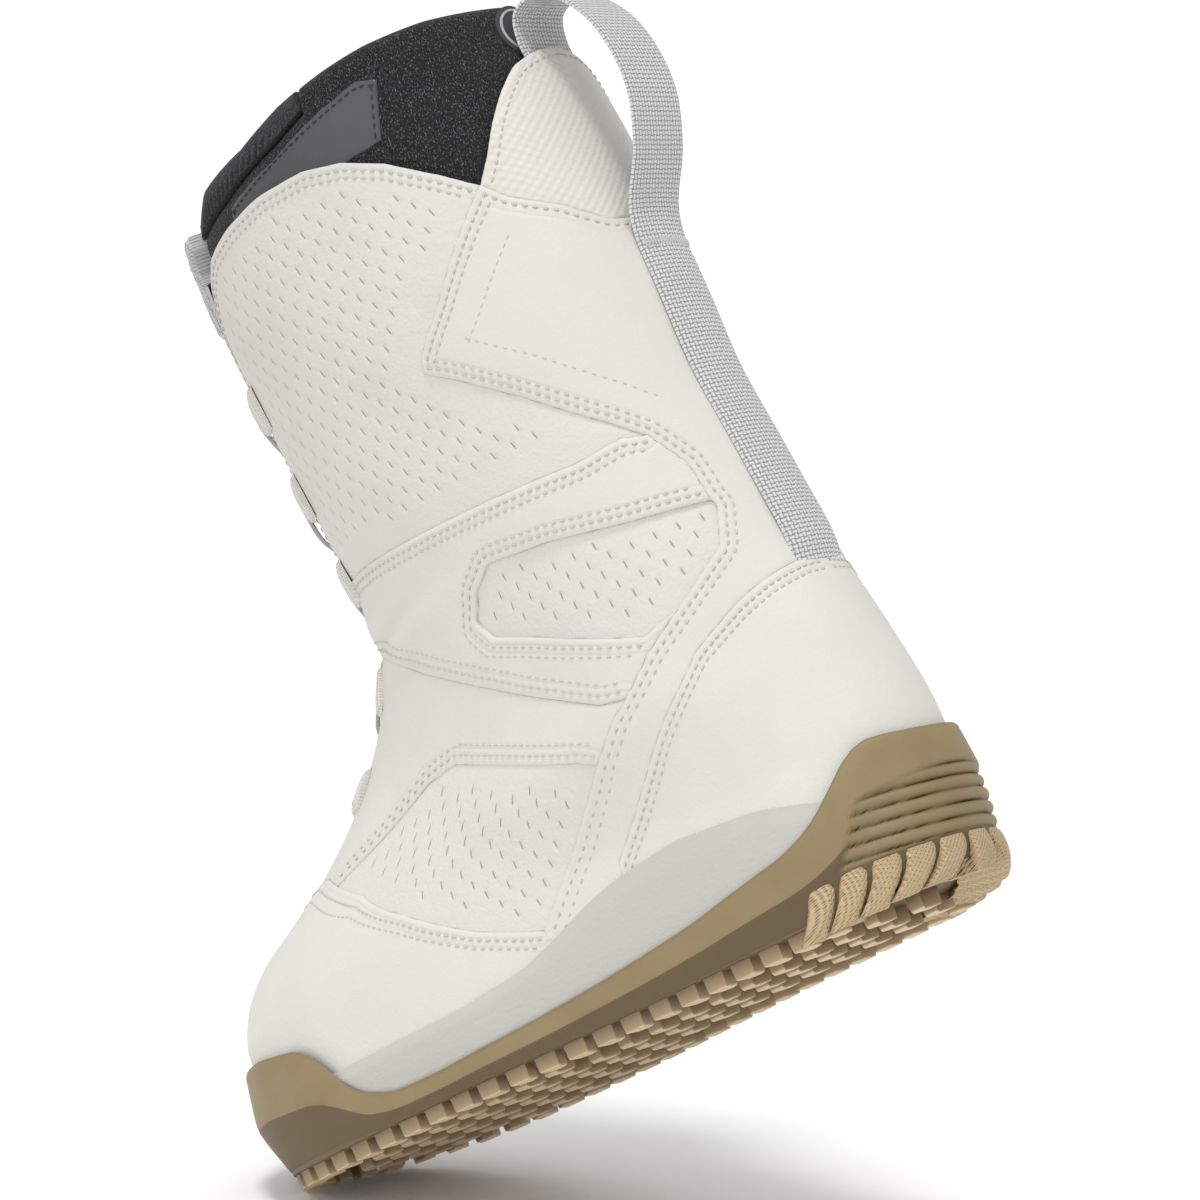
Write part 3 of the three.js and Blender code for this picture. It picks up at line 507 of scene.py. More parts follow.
# ---- upper ---------------------------------------------------------------------------------
# Seams of the side view, (share from heel to toe, height).
SPOILER_SEAM = [(-0.2, 232), (0.02, 236), (0.06, 245), (0.12, 253), (0.15, 260)]
SPOILER_TOP = [(0.15, 260), (0.12, 268), (0.09, 278), (0.06, 287), (0.03, 295), (0, 300),
               (-0.2, 302)]
COUNTER_SEAM = [(-0.2, 114), (0.01, 113), (0.05, 110), (0.09, 106), (0.16, 97), (0.22, 82),
                (0.26, 70), (0.31, 57), (0.34, 49), (0.355, 24)]
REAR_HIGH = [(0.15, 260), (0.23, 246), (0.32, 230), (0.4, 218), (0.415, 213), (0.36, 207),
             (0.25, 192), (0.14, 174), (0.1, 166)]
REAR_WAIST = [(0.1, 166), (0.07, 153), (0.065, 140)]
REAR_WINDOW = [(0.065, 140), (0.06, 138), (0.08, 125), (0.13, 117), (0.168, 111.6)]
REAR_LOW = [(0.168, 111.6), (0.23, 103), (0.276, 93), (0.3, 88), (0.327, 78.4)]
REAR_FOREFOOT = [(0.327, 78.4), (0.34, 73), (0.39, 59), (0.434, 47.1), (0.46, 40)]
REAR_SOLE = [(0.46, 40), (0.476, 24)]
CUFF_TOP = [(0.15, 260), (0.2, 268), (0.28, 279), (0.36, 286), (0.45, 290), (0.58, 291),
            (0.7, 289), (0.8, 286), (0.86, 280), (0.9, 271), (0.94, 262), (1, 258)]
CUFF_BOTTOM = [(1, 174), (0.87, 173), (0.64, 170), (0.44, 168), (0.23, 166), (0.14, 168),
               (0.1, 166)]
WINDOW_EDGE = [(0.065, 140), (0.2, 143), (0.35, 148), (0.5, 151), (0.55, 145), (0.57, 137),
               (0.53, 130), (0.44, 124), (0.31, 114), (0.23, 108), (0.168, 111.6)]
ANKLE_LOW = [(0.276, 93), (0.32, 95), (0.4, 103), (0.55, 117), (0.68, 128), (0.82, 139),
             (0.87, 144), (1, 151)]
FOREFOOT_TOP = [(0.846, 85.9), (0.75, 93), (0.68, 100), (0.62, 101), (0.52, 94), (0.36, 82),
                (0.327, 78.4)]
VAMP_HIGH = [(0.985, 91.5), (0.92, 91), (0.9, 90), (0.846, 85.9)]
VAMP_LOW = [(0.846, 85.9), (0.73, 77), (0.64, 65), (0.54, 49), (0.49, 43), (0.46, 40)]
VAMP_SOLE = [(0.46, 40), (0.455, 24)]
PANEL_BACK = -1.8               # offset of the panels' inner side


def run(points, backwards=False, rows=()):
    """One stretch of a panel's outline, with the insets of its stitch rows."""
    return (list(reversed(points)) if backwards else list(points)), rows


def inside(points, outline):
    """Which points of the plane are inside a closed outline."""
    x, y = points[:, :1], points[:, 1:]
    ax, ay = outline[:, 0], outline[:, 1]
    bx, by = np.roll(ax, -1), np.roll(ay, -1)
    spans = (ay > y) != (by > y)
    rise = np.where(by == ay, 1e-9, by - ay)
    return (spans & (x < (bx - ax) * (y - ay) / rise + ax)).sum(1) % 2 == 1


def nearest(points, others, chunk=2000):
    """Distance from each point to the nearest of the others."""
    found = []
    for start in range(0, len(points), chunk):
        part = points[start:start + chunk]
        gaps = ((part[:, None, :] - others[None, :, :]) ** 2).sum(-1)
        found.append(np.sqrt(gaps.min(1)))
    return np.concatenate(found)


def traced(runs, kind):
    """Angles, heights and stitch insets along an outline of a side, rear or front panel."""
    angles, heights, rows = [], [], []
    for points, insets in runs:
        metric = np.array(points, float) * (200, 1)
        metric = resampled(metric, 1.4)[:-1]
        t, z = metric[:, 0] / 200, metric[:, 1]
        angle = np.arccos(np.clip(2 * t - 1, -1, 1))
        angles += list(np.maximum(angle, throat_angle(z)))
        heights += list(z)
        rows += [insets] * len(z)
    angles, heights = np.array(angles), np.array(heights)
    if kind in ("rear", "front"):
        around = 2 * math.pi if kind == "rear" else 0
        angles = np.concatenate([angles, around - angles[::-1]])
        heights = np.concatenate([heights, heights[::-1]])
        rows = rows + rows[::-1]
    elif kind == "lateral":
        angles = -angles
    keep = [0]
    for i in range(1, len(angles)):
        gap = abs(angles[i] - angles[keep[-1]]) * 80 + abs(heights[i] - heights[keep[-1]])
        if gap > 0.5:
            keep.append(i)
    return angles[keep], heights[keep], [rows[i] for i in keep]


class Flat:
    """Arc length and height, in which a panel is cut out."""

    def __init__(self, angles, heights):
        self.turns = np.linspace(angles.min() - 0.3, angles.max() + 0.3, 900)
        ring = form_point(self.turns, float(heights.mean()))
        steps = np.linalg.norm(np.diff(ring, axis=0), axis=1)
        self.lengths = np.concatenate([[0], np.cumsum(steps)])

    def lay(self, angles, heights):
        return np.stack([np.interp(angles, self.turns, self.lengths), heights], -1)

    def angle(self, points):
        return np.interp(points[:, 0], self.lengths, self.turns)


def inward(outline):
    """Unit normals of a closed outline that point into it."""
    along = np.roll(outline, -1, 0) - np.roll(outline, 1, 0)
    normals = np.stack([-along[:, 1], along[:, 0]], -1)
    normals /= np.maximum(np.linalg.norm(normals, axis=1, keepdims=True), 1e-9)
    x, y = outline.T
    turning = (x * np.roll(y, -1) - np.roll(x, -1) * y).sum()
    return normals if turning > 0 else -normals


def slit_centres(outline, margin, pitch=(8.0, 4.6)):
    low, high = outline.min(0), outline.max(0)
    centres = []
    for i, z in enumerate(np.arange(low[1], high[1], pitch[1])):
        shift = pitch[0] / 2 if i % 2 else 0
        for x in np.arange(low[0] + shift, high[0], pitch[0]):
            centres.append((x, z))
    centres = np.array(centres)
    centres = centres[inside(centres, outline)]
    return centres[nearest(centres, outline) > margin]


SLIT_HALF = (2.2, 0.34)         # half length and half width
SLIT_DEPTH = 0.4
SLIT_LEAN = math.radians(12)
SLIT_RINGS = ((1.3, 16), (1.0, 16), (0.5, 8))


def slit_frame(lean):
    along = np.array([math.sin(lean), math.cos(lean)])
    return along, np.array([along[1], -along[0]])


def slit_points(centres, lean):
    along, across = slit_frame(lean)
    points = []
    for share, count in SLIT_RINGS:
        for k in range(count):
            turn = k / count * 2 * math.pi
            points.append(centres + share * (SLIT_HALF[0] * math.cos(turn) * along
                                             + SLIT_HALF[1] * math.sin(turn) * across))
    return np.concatenate(points)


def slit_depth(points, centres, lean):
    """0 outside the slits and 1 in their middles."""
    if not len(centres):
        return np.zeros(len(points))
    along, across = slit_frame(lean)
    tree = kdtree.KDTree(len(centres))
    for i, centre in enumerate(centres):
        tree.insert((*centre, 0), i)
    tree.balance()
    depths = []
    for point in points:
        _, i, gap = tree.find((*point, 0))
        if gap > 4:
            depths.append(0.0)
            continue
        off = point - centres[i]
        reach = math.hypot(off.dot(along) / SLIT_HALF[0], off.dot(across) / SLIT_HALF[1])
        depths.append(float(1 - blend(0.35, 1.1, reach)))
    return np.array(depths)


def distances(points, others, beyond=30.0):
    """Distance in space from each point to the nearest of the others."""
    if not len(others):
        return np.full(len(points), beyond)
    tree = kdtree.KDTree(len(others))
    for i, other in enumerate(others):
        tree.insert(other, i)
    tree.balance()
    return np.array([tree.find(point)[2] for point in points])


def drape(angle, z):
    """Soft unevenness of the upper, with folds in front of the ankle."""
    turn = np.abs(np.arctan2(np.sin(angle), np.cos(angle)))
    folds = np.exp(-((z - 154) / 20) ** 2) * (1 - blend(0.7, 1.7, turn))
    slow = np.sin(3 * angle + z / 21) * np.sin(z / 27 + 2 * angle) * 0.35
    return slow * blend(30, 90, z) + 0.8 * folds * np.cos((z - 12 * turn) / 19 * 2 * math.pi)


def stitch_block(places, runs_along, outwards, length, radius):
    """Points and faces of one rounded thread stitch at each place."""
    sides = 6
    shape = ((-0.5, 0.3, -0.9), (-0.34, 0.85, -0.15), (0, 1, 0.1), (0.34, 0.85, -0.15),
             (0.5, 0.3, -0.9))
    across = np.cross(outwards, runs_along)
    points = []
    for share, width, rise in shape:
        for k in range(sides):
            turn = k / sides * 2 * math.pi
            points.append(places + runs_along * length * share
                          + outwards * radius * (rise + 0.8 * width * math.sin(turn))
                          + across * radius * width * math.cos(turn))
    points = np.stack(points, 1)
    one = ring_faces(len(shape), sides)
    per = len(shape) * sides
    faces = [tuple(v + i * per for v in face) for i in range(len(places)) for face in one]
    return points.reshape(-1, 3), faces


def stitch_rows(outline, rows, flat, surface):
    """Points and faces of the stitches that follow an outline at its rows' insets."""
    normals = inward(outline)
    points, faces = [], []
    insets = sorted({inset for insets in rows for inset in insets})
    for inset in insets:
        spots = outline + normals * inset
        clear = nearest(spots, outline) > 0.93 * inset
        clear &= np.array([inset in insets_here for insets_here in rows])
        line = []
        for i in range(len(spots) + 1):
            good = i < len(spots) and clear[i]
            if good and (not line or np.linalg.norm(spots[i] - line[-1]) < 9):
                line.append(spots[i])
                continue
            if len(line) > 3:
                even = resampled(line, STITCH_PITCH)
                angle, z = flat.angle(even), even[:, 1]
                at = on_form(angle, z, surface(angle, z) + 0.12)
                along = np.gradient(at, axis=0)
                along /= np.linalg.norm(along, axis=1, keepdims=True)
                block, block_faces = stitch_block(at, along, form_normal(angle, z),
                                                  STITCH_LENGTH, STITCH_RADIUS)
                start = sum(len(p) for p in points)
                points.append(block)
                faces += [tuple(v + start for v in face) for face in block_faces]
            line = [spots[i]] if good else []
    return (np.concatenate(points), faces) if points else (None, None)


STITCH_PITCH = 3.1
STITCH_LENGTH = 2.0
STITCH_RADIUS = 0.34
RING_INSETS = (0.25, 0.6, 1.1)  # of the mesh rings that follow a panel's outline
PUFF = 0.5                      # how much higher a panel's middle is than its edge


def add_panel(name, runs, kind, level, material, slits=0.0, edge=0.8, spacing=2.2,
              back=PANEL_BACK, thread=None, soft=1.0):
    """A cut panel of the upper: its slits, rounded edge, pucker and stitches."""
    angles, heights, rows = traced(runs, kind)
    flat = Flat(angles, heights)
    outline = flat.lay(angles, heights)
    normals = inward(outline)
    low, high = outline.min(0), outline.max(0)
    across, up = np.meshgrid(np.arange(low[0], high[0], spacing),
                             np.arange(low[1], high[1], spacing * 0.87))
    across = across + (np.arange(len(across)) % 2)[:, None] * spacing / 2
    grid = np.stack([across.ravel(), up.ravel()], -1)
    grid = grid[inside(grid, outline)]
    grid = grid[nearest(grid, outline) > RING_INSETS[-1] + 0.6]
    lean = SLIT_LEAN * (-1 if kind != "lateral" else 1)
    centres = slit_centres(outline, slits) if slits else np.zeros((0, 2))
    extra = []
    if len(centres):
        ring = slit_points(centres, lean)
        grid = grid[nearest(grid, ring) > 0.7]
        extra.append(ring)
    for inset in RING_INSETS:
        spots = outline + normals * inset
        extra.append(spots[(nearest(spots, outline) > 0.9 * inset) & inside(spots, outline)])
    plane = np.concatenate([outline, grid, *extra])
    count = len(outline)
    loop = [(i, (i + 1) % count) for i in range(count)]
    verts, _, triangles, _, _, _ = delaunay_2d_cdt(
        [Vector(p) for p in plane], loop, [], 1, 1e-5)
    plane = np.array([tuple(v) for v in verts])
    triangles = [tuple(t) for t in triangles]
    angle, z = flat.angle(plane), plane[:, 1]
    border = resampled(np.concatenate([outline, outline[:1]]), 0.6)
    border = form_point(flat.angle(border), border[:, 1])
    sewn = np.array([bool(set(r) & set(STITCH_ROWS)) for r in rows])
    at = form_point(angle, z)
    rim = distances(at, border)
    seam = distances(at, form_point(angles[sewn], heights[sewn]))

    def surface(angle, z):
        return level + soft * drape(angle, z)

    inner = np.clip(edge - rim, 0, edge)
    rounded = edge - np.sqrt(edge ** 2 - inner ** 2)
    depth = slit_depth(plane, centres, lean)
    offset = surface(angle, z) - rounded + PUFF * (0.5 - np.exp(-rim / 7))
    offset = offset - SLIT_DEPTH * depth
    top = on_form(angle, z, offset)
    bottom = on_form(angle, z, np.minimum(back, offset - 0.6))
    points, faces = closed_shell(top, bottom, triangles)
    # The slits' depth is also stored so that the leather paints shade in the slits.
    fields = {"painted_shade": np.tile(depth, 2), "seam": np.tile(seam, 2), "rim": np.tile(rim, 2)}
    add_mesh(name + "_skin", points, faces, material, "shell", (name,), fields)
    threads, thread_faces = stitch_rows(outline, rows, flat, surface)
    if threads is not None:
        add_mesh(name + "_stitching", threads, thread_faces, thread or THREAD, "shell")


def add_upper():
    double = STITCH_ROWS
    rear = [run(SPOILER_SEAM, rows=double[:1]), run(REAR_HIGH, rows=(*double, 14.0)),
            run(REAR_WAIST, rows=double), run(REAR_WINDOW, rows=double),
            run(REAR_LOW, rows=double), run(REAR_FOREFOOT, rows=double), run(REAR_SOLE),
            run([(0.476, 24), (0.355, 24)]), run(COUNTER_SEAM, True)]
    add_panel("rear_panel", rear, "rear", 0.9, SMOOTH, edge=0.9)
    add_panel("rear_spoiler", [run(SPOILER_SEAM), run(SPOILER_TOP, rows=(3.2,))], "rear", 0.1,
              EMBOSSED)
    add_panel("heel_counter", [run(COUNTER_SEAM, rows=double), run([(0.355, 24), (-0.2, 24)])],
              "rear", 0.8, SMOOTH, edge=0.3)
    vamp = [run([(1, 88), (0.9915, 88), (0.9915, 91.5), (0.985, 91.5)]),
            run(VAMP_HIGH, rows=double), run(VAMP_LOW, rows=double), run(VAMP_SOLE),
            run([(0.455, 24), (1, 24)])]
    add_panel("vamp", vamp, "front", 0.7, SMOOTH, edge=0.9, spacing=2.6)
    for side, _ in SIDES:
        add_panel(f"cuff_panel_{side}",
                  [run(CUFF_BOTTOM), run(REAR_HIGH, True), run(CUFF_TOP, rows=double),
                   run([(1, 258), (1, 174)], rows=(2.4,))],
                  side, 0.0, TEXTURED, slits=9.5, edge=0.5)
        add_panel(f"ankle_window_{side}", [run(WINDOW_EDGE), run(REAR_WINDOW, True)],
                  side, -0.5, TEXTURED, slits=4.5, edge=0.3)
        overlay = [run(ANKLE_LOW, rows=double), run([(1, 151), (1, 174)]),
                   run(CUFF_BOTTOM, rows=double), run(REAR_WAIST),
                   run(WINDOW_EDGE, rows=double), run(REAR_LOW[:3])]
        add_panel(f"ankle_overlay_{side}", overlay, side, 1.0, SMOOTH, edge=1.0)
        forefoot = [run(FOREFOOT_TOP), run(REAR_FOREFOOT), run(VAMP_LOW, True)]
        add_panel(f"forefoot_panel_{side}", forefoot, side, -0.2, TEXTURED,
                  slits=5.5, edge=0.3)
        instep = [run(ANKLE_LOW), run([(1, 151), (1, 92)]), run(VAMP_HIGH),
                  run(FOREFOOT_TOP, rows=double), run([(0.327, 78.4), (0.3, 88), (0.276, 93)])]
        add_panel(f"instep_panel_{side}", instep, side, 0.4, SMOOTH, edge=0.8)


# ---- sole ----------------------------------------------------------------------------------
SOLE_UNDERSIDE = [(-0.02, 9.5), (0.05, 6.5), (0.12, 5), (0.8, 5), (0.88, 5.5), (0.98, 7.5),
                  (1.08, 9.5)]
CUP_RIM = [(0, 50), (0.03, 52), (0.045, 51), (0.06, 45), (0.1, 33), (0.14, 28), (0.27, 22),
           (0.4, 18.5), (0.53, 16), (0.65, 14.5), (0.72, 15), (0.765, 20), (0.79, 32), (0.82, 40),
           (0.9, 44), (1.08, 45)]
BAND_RIM = [(-0.08, 34), (0.02, 35), (0.07, 37), (0.1, 40), (0.15, 44), (0.26, 47), (0.34, 45),
            (0.39, 42), (0.44, 37), (0.5, 31.5), (0.59, 28.5), (0.8, 28), (1.08, 28)]
PLATE_TOP = 11.0
BAND_LOW = 11.4


def line_at(points, t):
    """A side-view line softened at its corners."""
    xs, ys = np.array(points, float).T
    return sum(np.interp(t + shift, xs, ys) for shift in (-0.012, 0, 0.012)) / 3


def even_angles(step, z=20.0):
    turns = np.linspace(0, 2 * math.pi, 2400)
    ring = form_point(turns, z)
    lengths = np.concatenate([[0], np.cumsum(np.linalg.norm(np.diff(ring, axis=0), axis=1))])
    count = int(lengths[-1] / step)
    return np.interp(np.arange(count) / count * lengths[-1], lengths, turns)


WINDOW_SILL = 17.0
WINDOW_TOP = 38.5
WINDOW_RIB_PITCH = 4.1


def heel_window(angle, z):
    """Share of the recessed window at the heel, and the height of its curved ribs."""
    off = np.abs(angle - math.pi)
    half = np.interp(z, [16, 37], [0.62, 0.48])
    above = z - (WINDOW_TOP - 16 * off ** 2)
    sill = blend(WINDOW_SILL - 0.4, WINDOW_SILL + 0.8, z)
    mask = blend(0, 0.03, half - off) * sill * (1 - blend(-1.4, 0, above))
    waves = (z - 6 * off ** 2 - WINDOW_SILL) / WINDOW_RIB_PITCH * math.pi
    return mask, np.abs(np.sin(waves)) ** 0.4


def add_outsole():
    angle = even_angles(1.2)[None, :]
    t = (1 + np.cos(angle)) / 2
    low, high = line_at(SOLE_UNDERSIDE, t), line_at(CUP_RIM, t)
    rows, shades = [], []
    for share in np.linspace(0, 1, 84):
        z = low + (high - 1.2 - low) * share
        crease = np.interp(share, [0, 0.08, 0.5, 0.56, 1], [2.6, 3.9, 5.9, 5.9, 4.2])
        window, rib = heel_window(angle, z)
        lift = crease + (2.7 + 2.2 * rib - crease) * window
        rows.append(on_form(angle, z, lift)[0])
        # Painted shade between the heel window's ribs and on the lower half of the wall.
        shades.append((window * (1 - rib) + 0.85 * (share < 0.52) * (1 - window))[0])
    for turn, lift in ((0.5, 3.9), (1.2, 3.4), (0.5, 2.9)):
        rows.append(on_form(angle, high - 1.2 + turn, lift)[0])
        # A little painted shade on the wall's top lip.
        shades.append(np.full(angle.shape[1], 0.25))
    for z in (high - 2, (high + low) / 2, low):
        rows.append(on_form(angle, z, 2.8)[0])
        # Full painted shade on the wall's inside.
        shades.append(np.full(angle.shape[1], 1.0))
    faces = grid_faces(len(rows), angle.shape[1], wrap_rows=True, wrap_columns=True)
    add_mesh("outsole_wall", np.concatenate(rows), faces, GUM, "shell",
             ("outsole",), {"painted_shade": np.concatenate(shades)}, crease=65)
    # The plate between the lugs is painted wholly in shade.
    add_plate("outsole_plate", 3.2, lambda x: line_at(SOLE_UNDERSIDE, (x + 140) / 280),
              PLATE_TOP, LUG, shade=1.0)
    add_lugs()


def add_plate(name, offset, low, high, material, shade=0.0):
    """A flat piece with the plan of the form: its underside's height follows x."""
    angle = even_angles(4)
    edge = on_form(angle, high, offset)
    spine = np.stack([np.clip(edge[:, 0], -90, 90), 0 * angle, 0 * angle], -1)
    rows = []
    for share, top in ((0, False), (0.5, False), (0.985, False), (1, False), (1, True),
                       (0.985, True), (0.8, True), (0.5, True), (0, True)):
        row = spine + (edge - spine) * share
        row[:, 2] = high if top else low(row[:, 0])
        if share == 1:
            row[:, 2] += -0.3 if top else 0.3
        rows.append(row)
    faces = grid_faces(len(rows), len(angle), wrap_columns=True)
    points = np.concatenate(rows)
    # shade is how much painted shade the gum finish puts on the piece.
    add_mesh(name, points, faces, material, "shell", (),
             {"painted_shade": np.full(len(points), shade)})


def prism_block(outline, low, high, inset):
    """Points, faces and painted shade of a block whose foot is a little smaller than its root; the
    painted shade deepens from the foot to the root.
    """
    outline = np.asarray(outline, float)
    middle = outline.mean(0)
    rings = []
    for z, share in ((low, 1 - 2 * inset), (low + 0.6, 1 - inset), (high, 1)):
        flat = middle + (outline - middle) * share
        rings.append(np.column_stack([flat, np.full(len(flat), z)]))
    count = len(outline)
    return np.concatenate(rings), ring_faces(3, count), np.repeat((0.0, 0.55, 1.0), count)


def heel_angle(length):
    """Angle at a distance round the sole from the middle of the heel."""
    turns = np.linspace(-1.6, 1.6, 800)
    ring = form_point(math.pi + turns, 12.0)
    lengths = np.concatenate([[0], np.cumsum(np.linalg.norm(np.diff(ring, axis=0), axis=1))])
    return math.pi + np.interp(length + lengths[-1] / 2, lengths, turns)


def wall_block(centre, width, high, lean, inner, outer):
    """A rounded tread block that climbs the sole's side wall, centred round the heel."""
    across = np.linspace(-0.5, 0.5, 9)
    up = np.linspace(0, 1, 11)
    lean = lean * np.sign(centre)
    low = line_at(SOLE_UNDERSIDE, (1 + math.cos(heel_angle(centre))) / 2) - 4.6
    rows = []
    for share in up:
        angle = heel_angle(centre + across * width + lean * (1 - share) ** 2)
        round_off = 1.1 * (2 * np.abs(across)) ** 6
        lift = inner + (outer - inner) * math.sin(math.pi * (0.2 + 0.62 * share)) ** 0.6
        rows.append(on_form(angle, low + (high - low) * share, lift - round_off))
    for share in reversed(up):
        angle = heel_angle(centre + across * width + lean * (1 - share) ** 2)
        rows.append(on_form(angle, low + (high - low) * share, inner - 13 + 12 * share))
    faces = grid_faces(len(rows), len(across), wrap_rows=True) + cap_faces(len(rows), len(across))
    return np.concatenate(rows), faces


def joined(blocks):
    points, faces, start = [], [], 0
    for block, block_faces, *_ in blocks:
        points.append(block)
        faces += [tuple(v + start for v in face) for face in block_faces]
        start += len(block)
    return np.concatenate(points), faces


HEEL_LUG_SPAN = 0.68            # half of the angle that the big heel lugs take up
LUG_MARGIN = 12.0               # from the sole's edge to the middles of the chevron blocks
CHEVRON = np.array([(-4.6, -5.4), (0.8, -5.4), (4, 0), (0.8, 5.4), (-4.6, 5.4), (-1.6, 0)])
CHEVRON_PITCH = (13.0, 16.0)    # along and across the sole
BLOCK_HEIGHT = 5.0


def add_lugs():
    """Chevron blocks under the sole, box lugs round its edge and big knurled ones at the heel."""
    rim = form_point(even_angles(3, 10.0), 10.0)[:, :2]
    blocks = []
    for row in range(-2, 3):
        shift = 0.5 if row % 2 else 0
        for column in range(-11, 11):
            centre = np.array([[(column + shift) * CHEVRON_PITCH[0], row * CHEVRON_PITCH[1]]])
            if inside(centre, rim)[0] and nearest(centre, rim)[0] > LUG_MARGIN:
                low = float(line_at(SOLE_UNDERSIDE, (centre[0, 0] + 140) / 280))
                blocks.append(prism_block(CHEVRON + centre, low - BLOCK_HEIGHT, low + 0.5, 0.05))
    for angle in even_angles(11.2, 8.0):
        if abs(angle - math.pi) > HEEL_LUG_SPAN:
            t = (1 + math.cos(angle)) / 2
            low = float(line_at(SOLE_UNDERSIDE, t))
            at = form_point(angle, 9.0)
            out = form_normal(angle, 9.0)
            out = np.array([out[0], out[1]]) / np.hypot(out[0], out[1])
            along = np.array([-out[1], out[0]])
            outline = [at[:2] + out * a + along * b
                       for a, b in ((2.6, -3.9), (2.6, 3.9), (-4.2, 3.4), (-6.4, 0), (-4.2, -3.4))]
            blocks.append(prism_block(outline, low - BLOCK_HEIGHT, low + 0.8, 0.05))
    points, faces = joined(blocks)
    # Painted shade on each block, deeper towards its root.
    shades = np.concatenate([shade for _, _, shade in blocks])
    add_mesh("outsole_lugs", points, faces, LUG, "shell", (), {"painted_shade": shades},
             crease=25)
    big = [wall_block(middle, 8.4, 16.4, 8.0, 1.5, 6.6) for middle in np.arange(-50, 51, 10)]
    points, faces = joined(big)
    add_mesh("outsole_heel_lugs", points, faces, KNURL, "shell")


def add_rand():
    angle = even_angles(1.8)[None, :]
    t = (1 + np.cos(angle)) / 2
    high = line_at(BAND_RIM, t)
    rows = []
    for share in np.linspace(0, 1, 18):
        lift = 2.45 - 0.9 * blend(0.82, 1, share)
        rows.append(on_form(angle, BAND_LOW + (high - BAND_LOW) * share, lift)[0])
    rows.append(on_form(angle, high + 0.25, 1.1)[0])
    for share in (1, 0.5, 0):
        rows.append(on_form(angle, BAND_LOW + (high - BAND_LOW) * share, 0.45)[0])
    faces = grid_faces(len(rows), angle.shape[1], wrap_rows=True, wrap_columns=True)
    add_mesh("midsole_rand", np.concatenate(rows), faces, RAND, "shell", ("midsole",))
    add_plate("midsole_core", 0.3, lambda x: 0 * x + BAND_LOW, 20.2, RAND)


# ---- liner ---------------------------------------------------------------------------------
LINER_TOP = [(-0.2, 319), (0.1, 321), (0.22, 320), (0.33, 318), (0.46, 315), (0.6, 310),
             (0.78, 308), (0.85, 303), (1.2, 302)]
COLLAR_SEAM = [(0.4, 309), (0.5, 304.5), (0.7, 299), (1, 296)]
COLLAR_START = 0.4              # share from heel to toe where the collar knit begins
LINER_THICKNESS = 8.0
LINER_LOW = 28.0


def liner_outer(angle, z):
    turn = np.abs(np.arctan2(np.sin(angle), np.cos(angle)))
    behind_tongue = 1 - blend(math.radians(30), math.radians(46), turn)
    puff = 0.35 * np.sin(5 * angle) * np.sin(z / 9) * blend(270, 300, z)
    return -4.1 - 3.7 * behind_tongue * blend(80, 100, z) + puff


def sleeve(angle_of, columns, low, high, outer, thickness, heights):
    """Points and faces of a padded wall with a round rim, closed at both of its ends."""
    shares = np.linspace(0, 1, columns)
    rim = thickness / 2
    middle = angle_of(shares, np.full(columns, 300.0))
    t = (1 + np.cos(middle)) / 2
    bottom, top = low(t), high(t) - rim
    levels = [(share, 0) for share in heights] + [(1, turn) for turn in (25, 50, 70, 90)]
    outside, within = [], []
    for share, turn in levels:
        z = bottom + (top - bottom) * share + rim * math.sin(math.radians(turn))
        angle = angle_of(shares, z)
        drop = rim * (1 - math.cos(math.radians(turn)))
        outside.append(on_form(angle, z, outer(angle, z) - drop))
        within.append(on_form(angle, z, liner_outer(angle, z) - thickness + drop))
    rows = outside + within[::-1]
    faces = grid_faces(len(rows), columns, wrap_rows=True) + cap_faces(len(rows), columns)
    return np.concatenate(rows), faces


def round_the_back(shares, z):
    start = throat_angle(z)
    return start + (2 * math.pi - 2 * start) * shares


def add_liner():
    def liner_high(t):
        collar = np.interp(t, *np.array(COLLAR_SEAM, float).T) - 0.2
        return np.where(t > COLLAR_START, collar, np.interp(t, *np.array(LINER_TOP, float).T))

    points, faces = sleeve(round_the_back, 260, lambda t: 0 * t + LINER_LOW, liner_high,
                           liner_outer, LINER_THICKNESS, np.linspace(0, 1, 70) ** 0.7)
    boot = add_mesh("liner_boot_padding", points, faces, LINER, "shell",
                    ("liner_boot",))
    add_plate("liner_boot_floor", -4.6, lambda x: 0 * x + LINER_LOW, 32.6, LINER)
    collar_angle = math.acos(2 * COLLAR_START - 1)
    for side, sign in SIDES:
        def beside_throat(shares, z, sign=sign):
            start = throat_angle(z)
            return sign * (start + (collar_angle - start) * shares)

        def ribbed(angle, z, sign=sign):
            slant = np.abs(angle) * 62 - 0.55 * (z - 300)
            cords = np.abs(np.sin(slant / 2.7 * math.pi)) ** 0.7
            rim = np.interp((1 + np.cos(angle)) / 2, *np.array(LINER_TOP, float).T) - z
            share = blend(0, 0.3, collar_angle - np.abs(angle)) * blend(4.5, 6, rim)
            return liner_outer(angle, z) + share * (1.3 * cords - 0.7)

        points, faces = sleeve(
            beside_throat, 300, lambda t: np.interp(t, *np.array(COLLAR_SEAM, float).T) + 0.2,
            lambda t: np.interp(t, *np.array(LINER_TOP, float).T), ribbed, LINER_THICKNESS,
            np.linspace(0, 1, 8))
        if sign < 0:
            faces = [tuple(reversed(face)) for face in faces]
        collar = add_mesh(f"liner_collar_{side}_knit", points, faces, KNIT, "shell",
                          (f"liner_collar_{side}",))
        patch = [run([(0.7, 290), (0.69, 295), (0.5, 301), (0.26, 309)], rows=(1.8,)),
                 run([(0.26, 309), (0.22, 307), (0.27, 288)], rows=(1.8,)),
                 run([(0.27, 288), (0.45, 284), (0.7, 286), (0.7, 290)])]
        add_panel(f"liner_patch_{side}", patch, side, -3.6, GLOSS, back=-4.4,
                  thread=LINER_THREAD, soft=0.0)
    add_badge()


BADGE_CENTRE = (6, 309)         # y and height


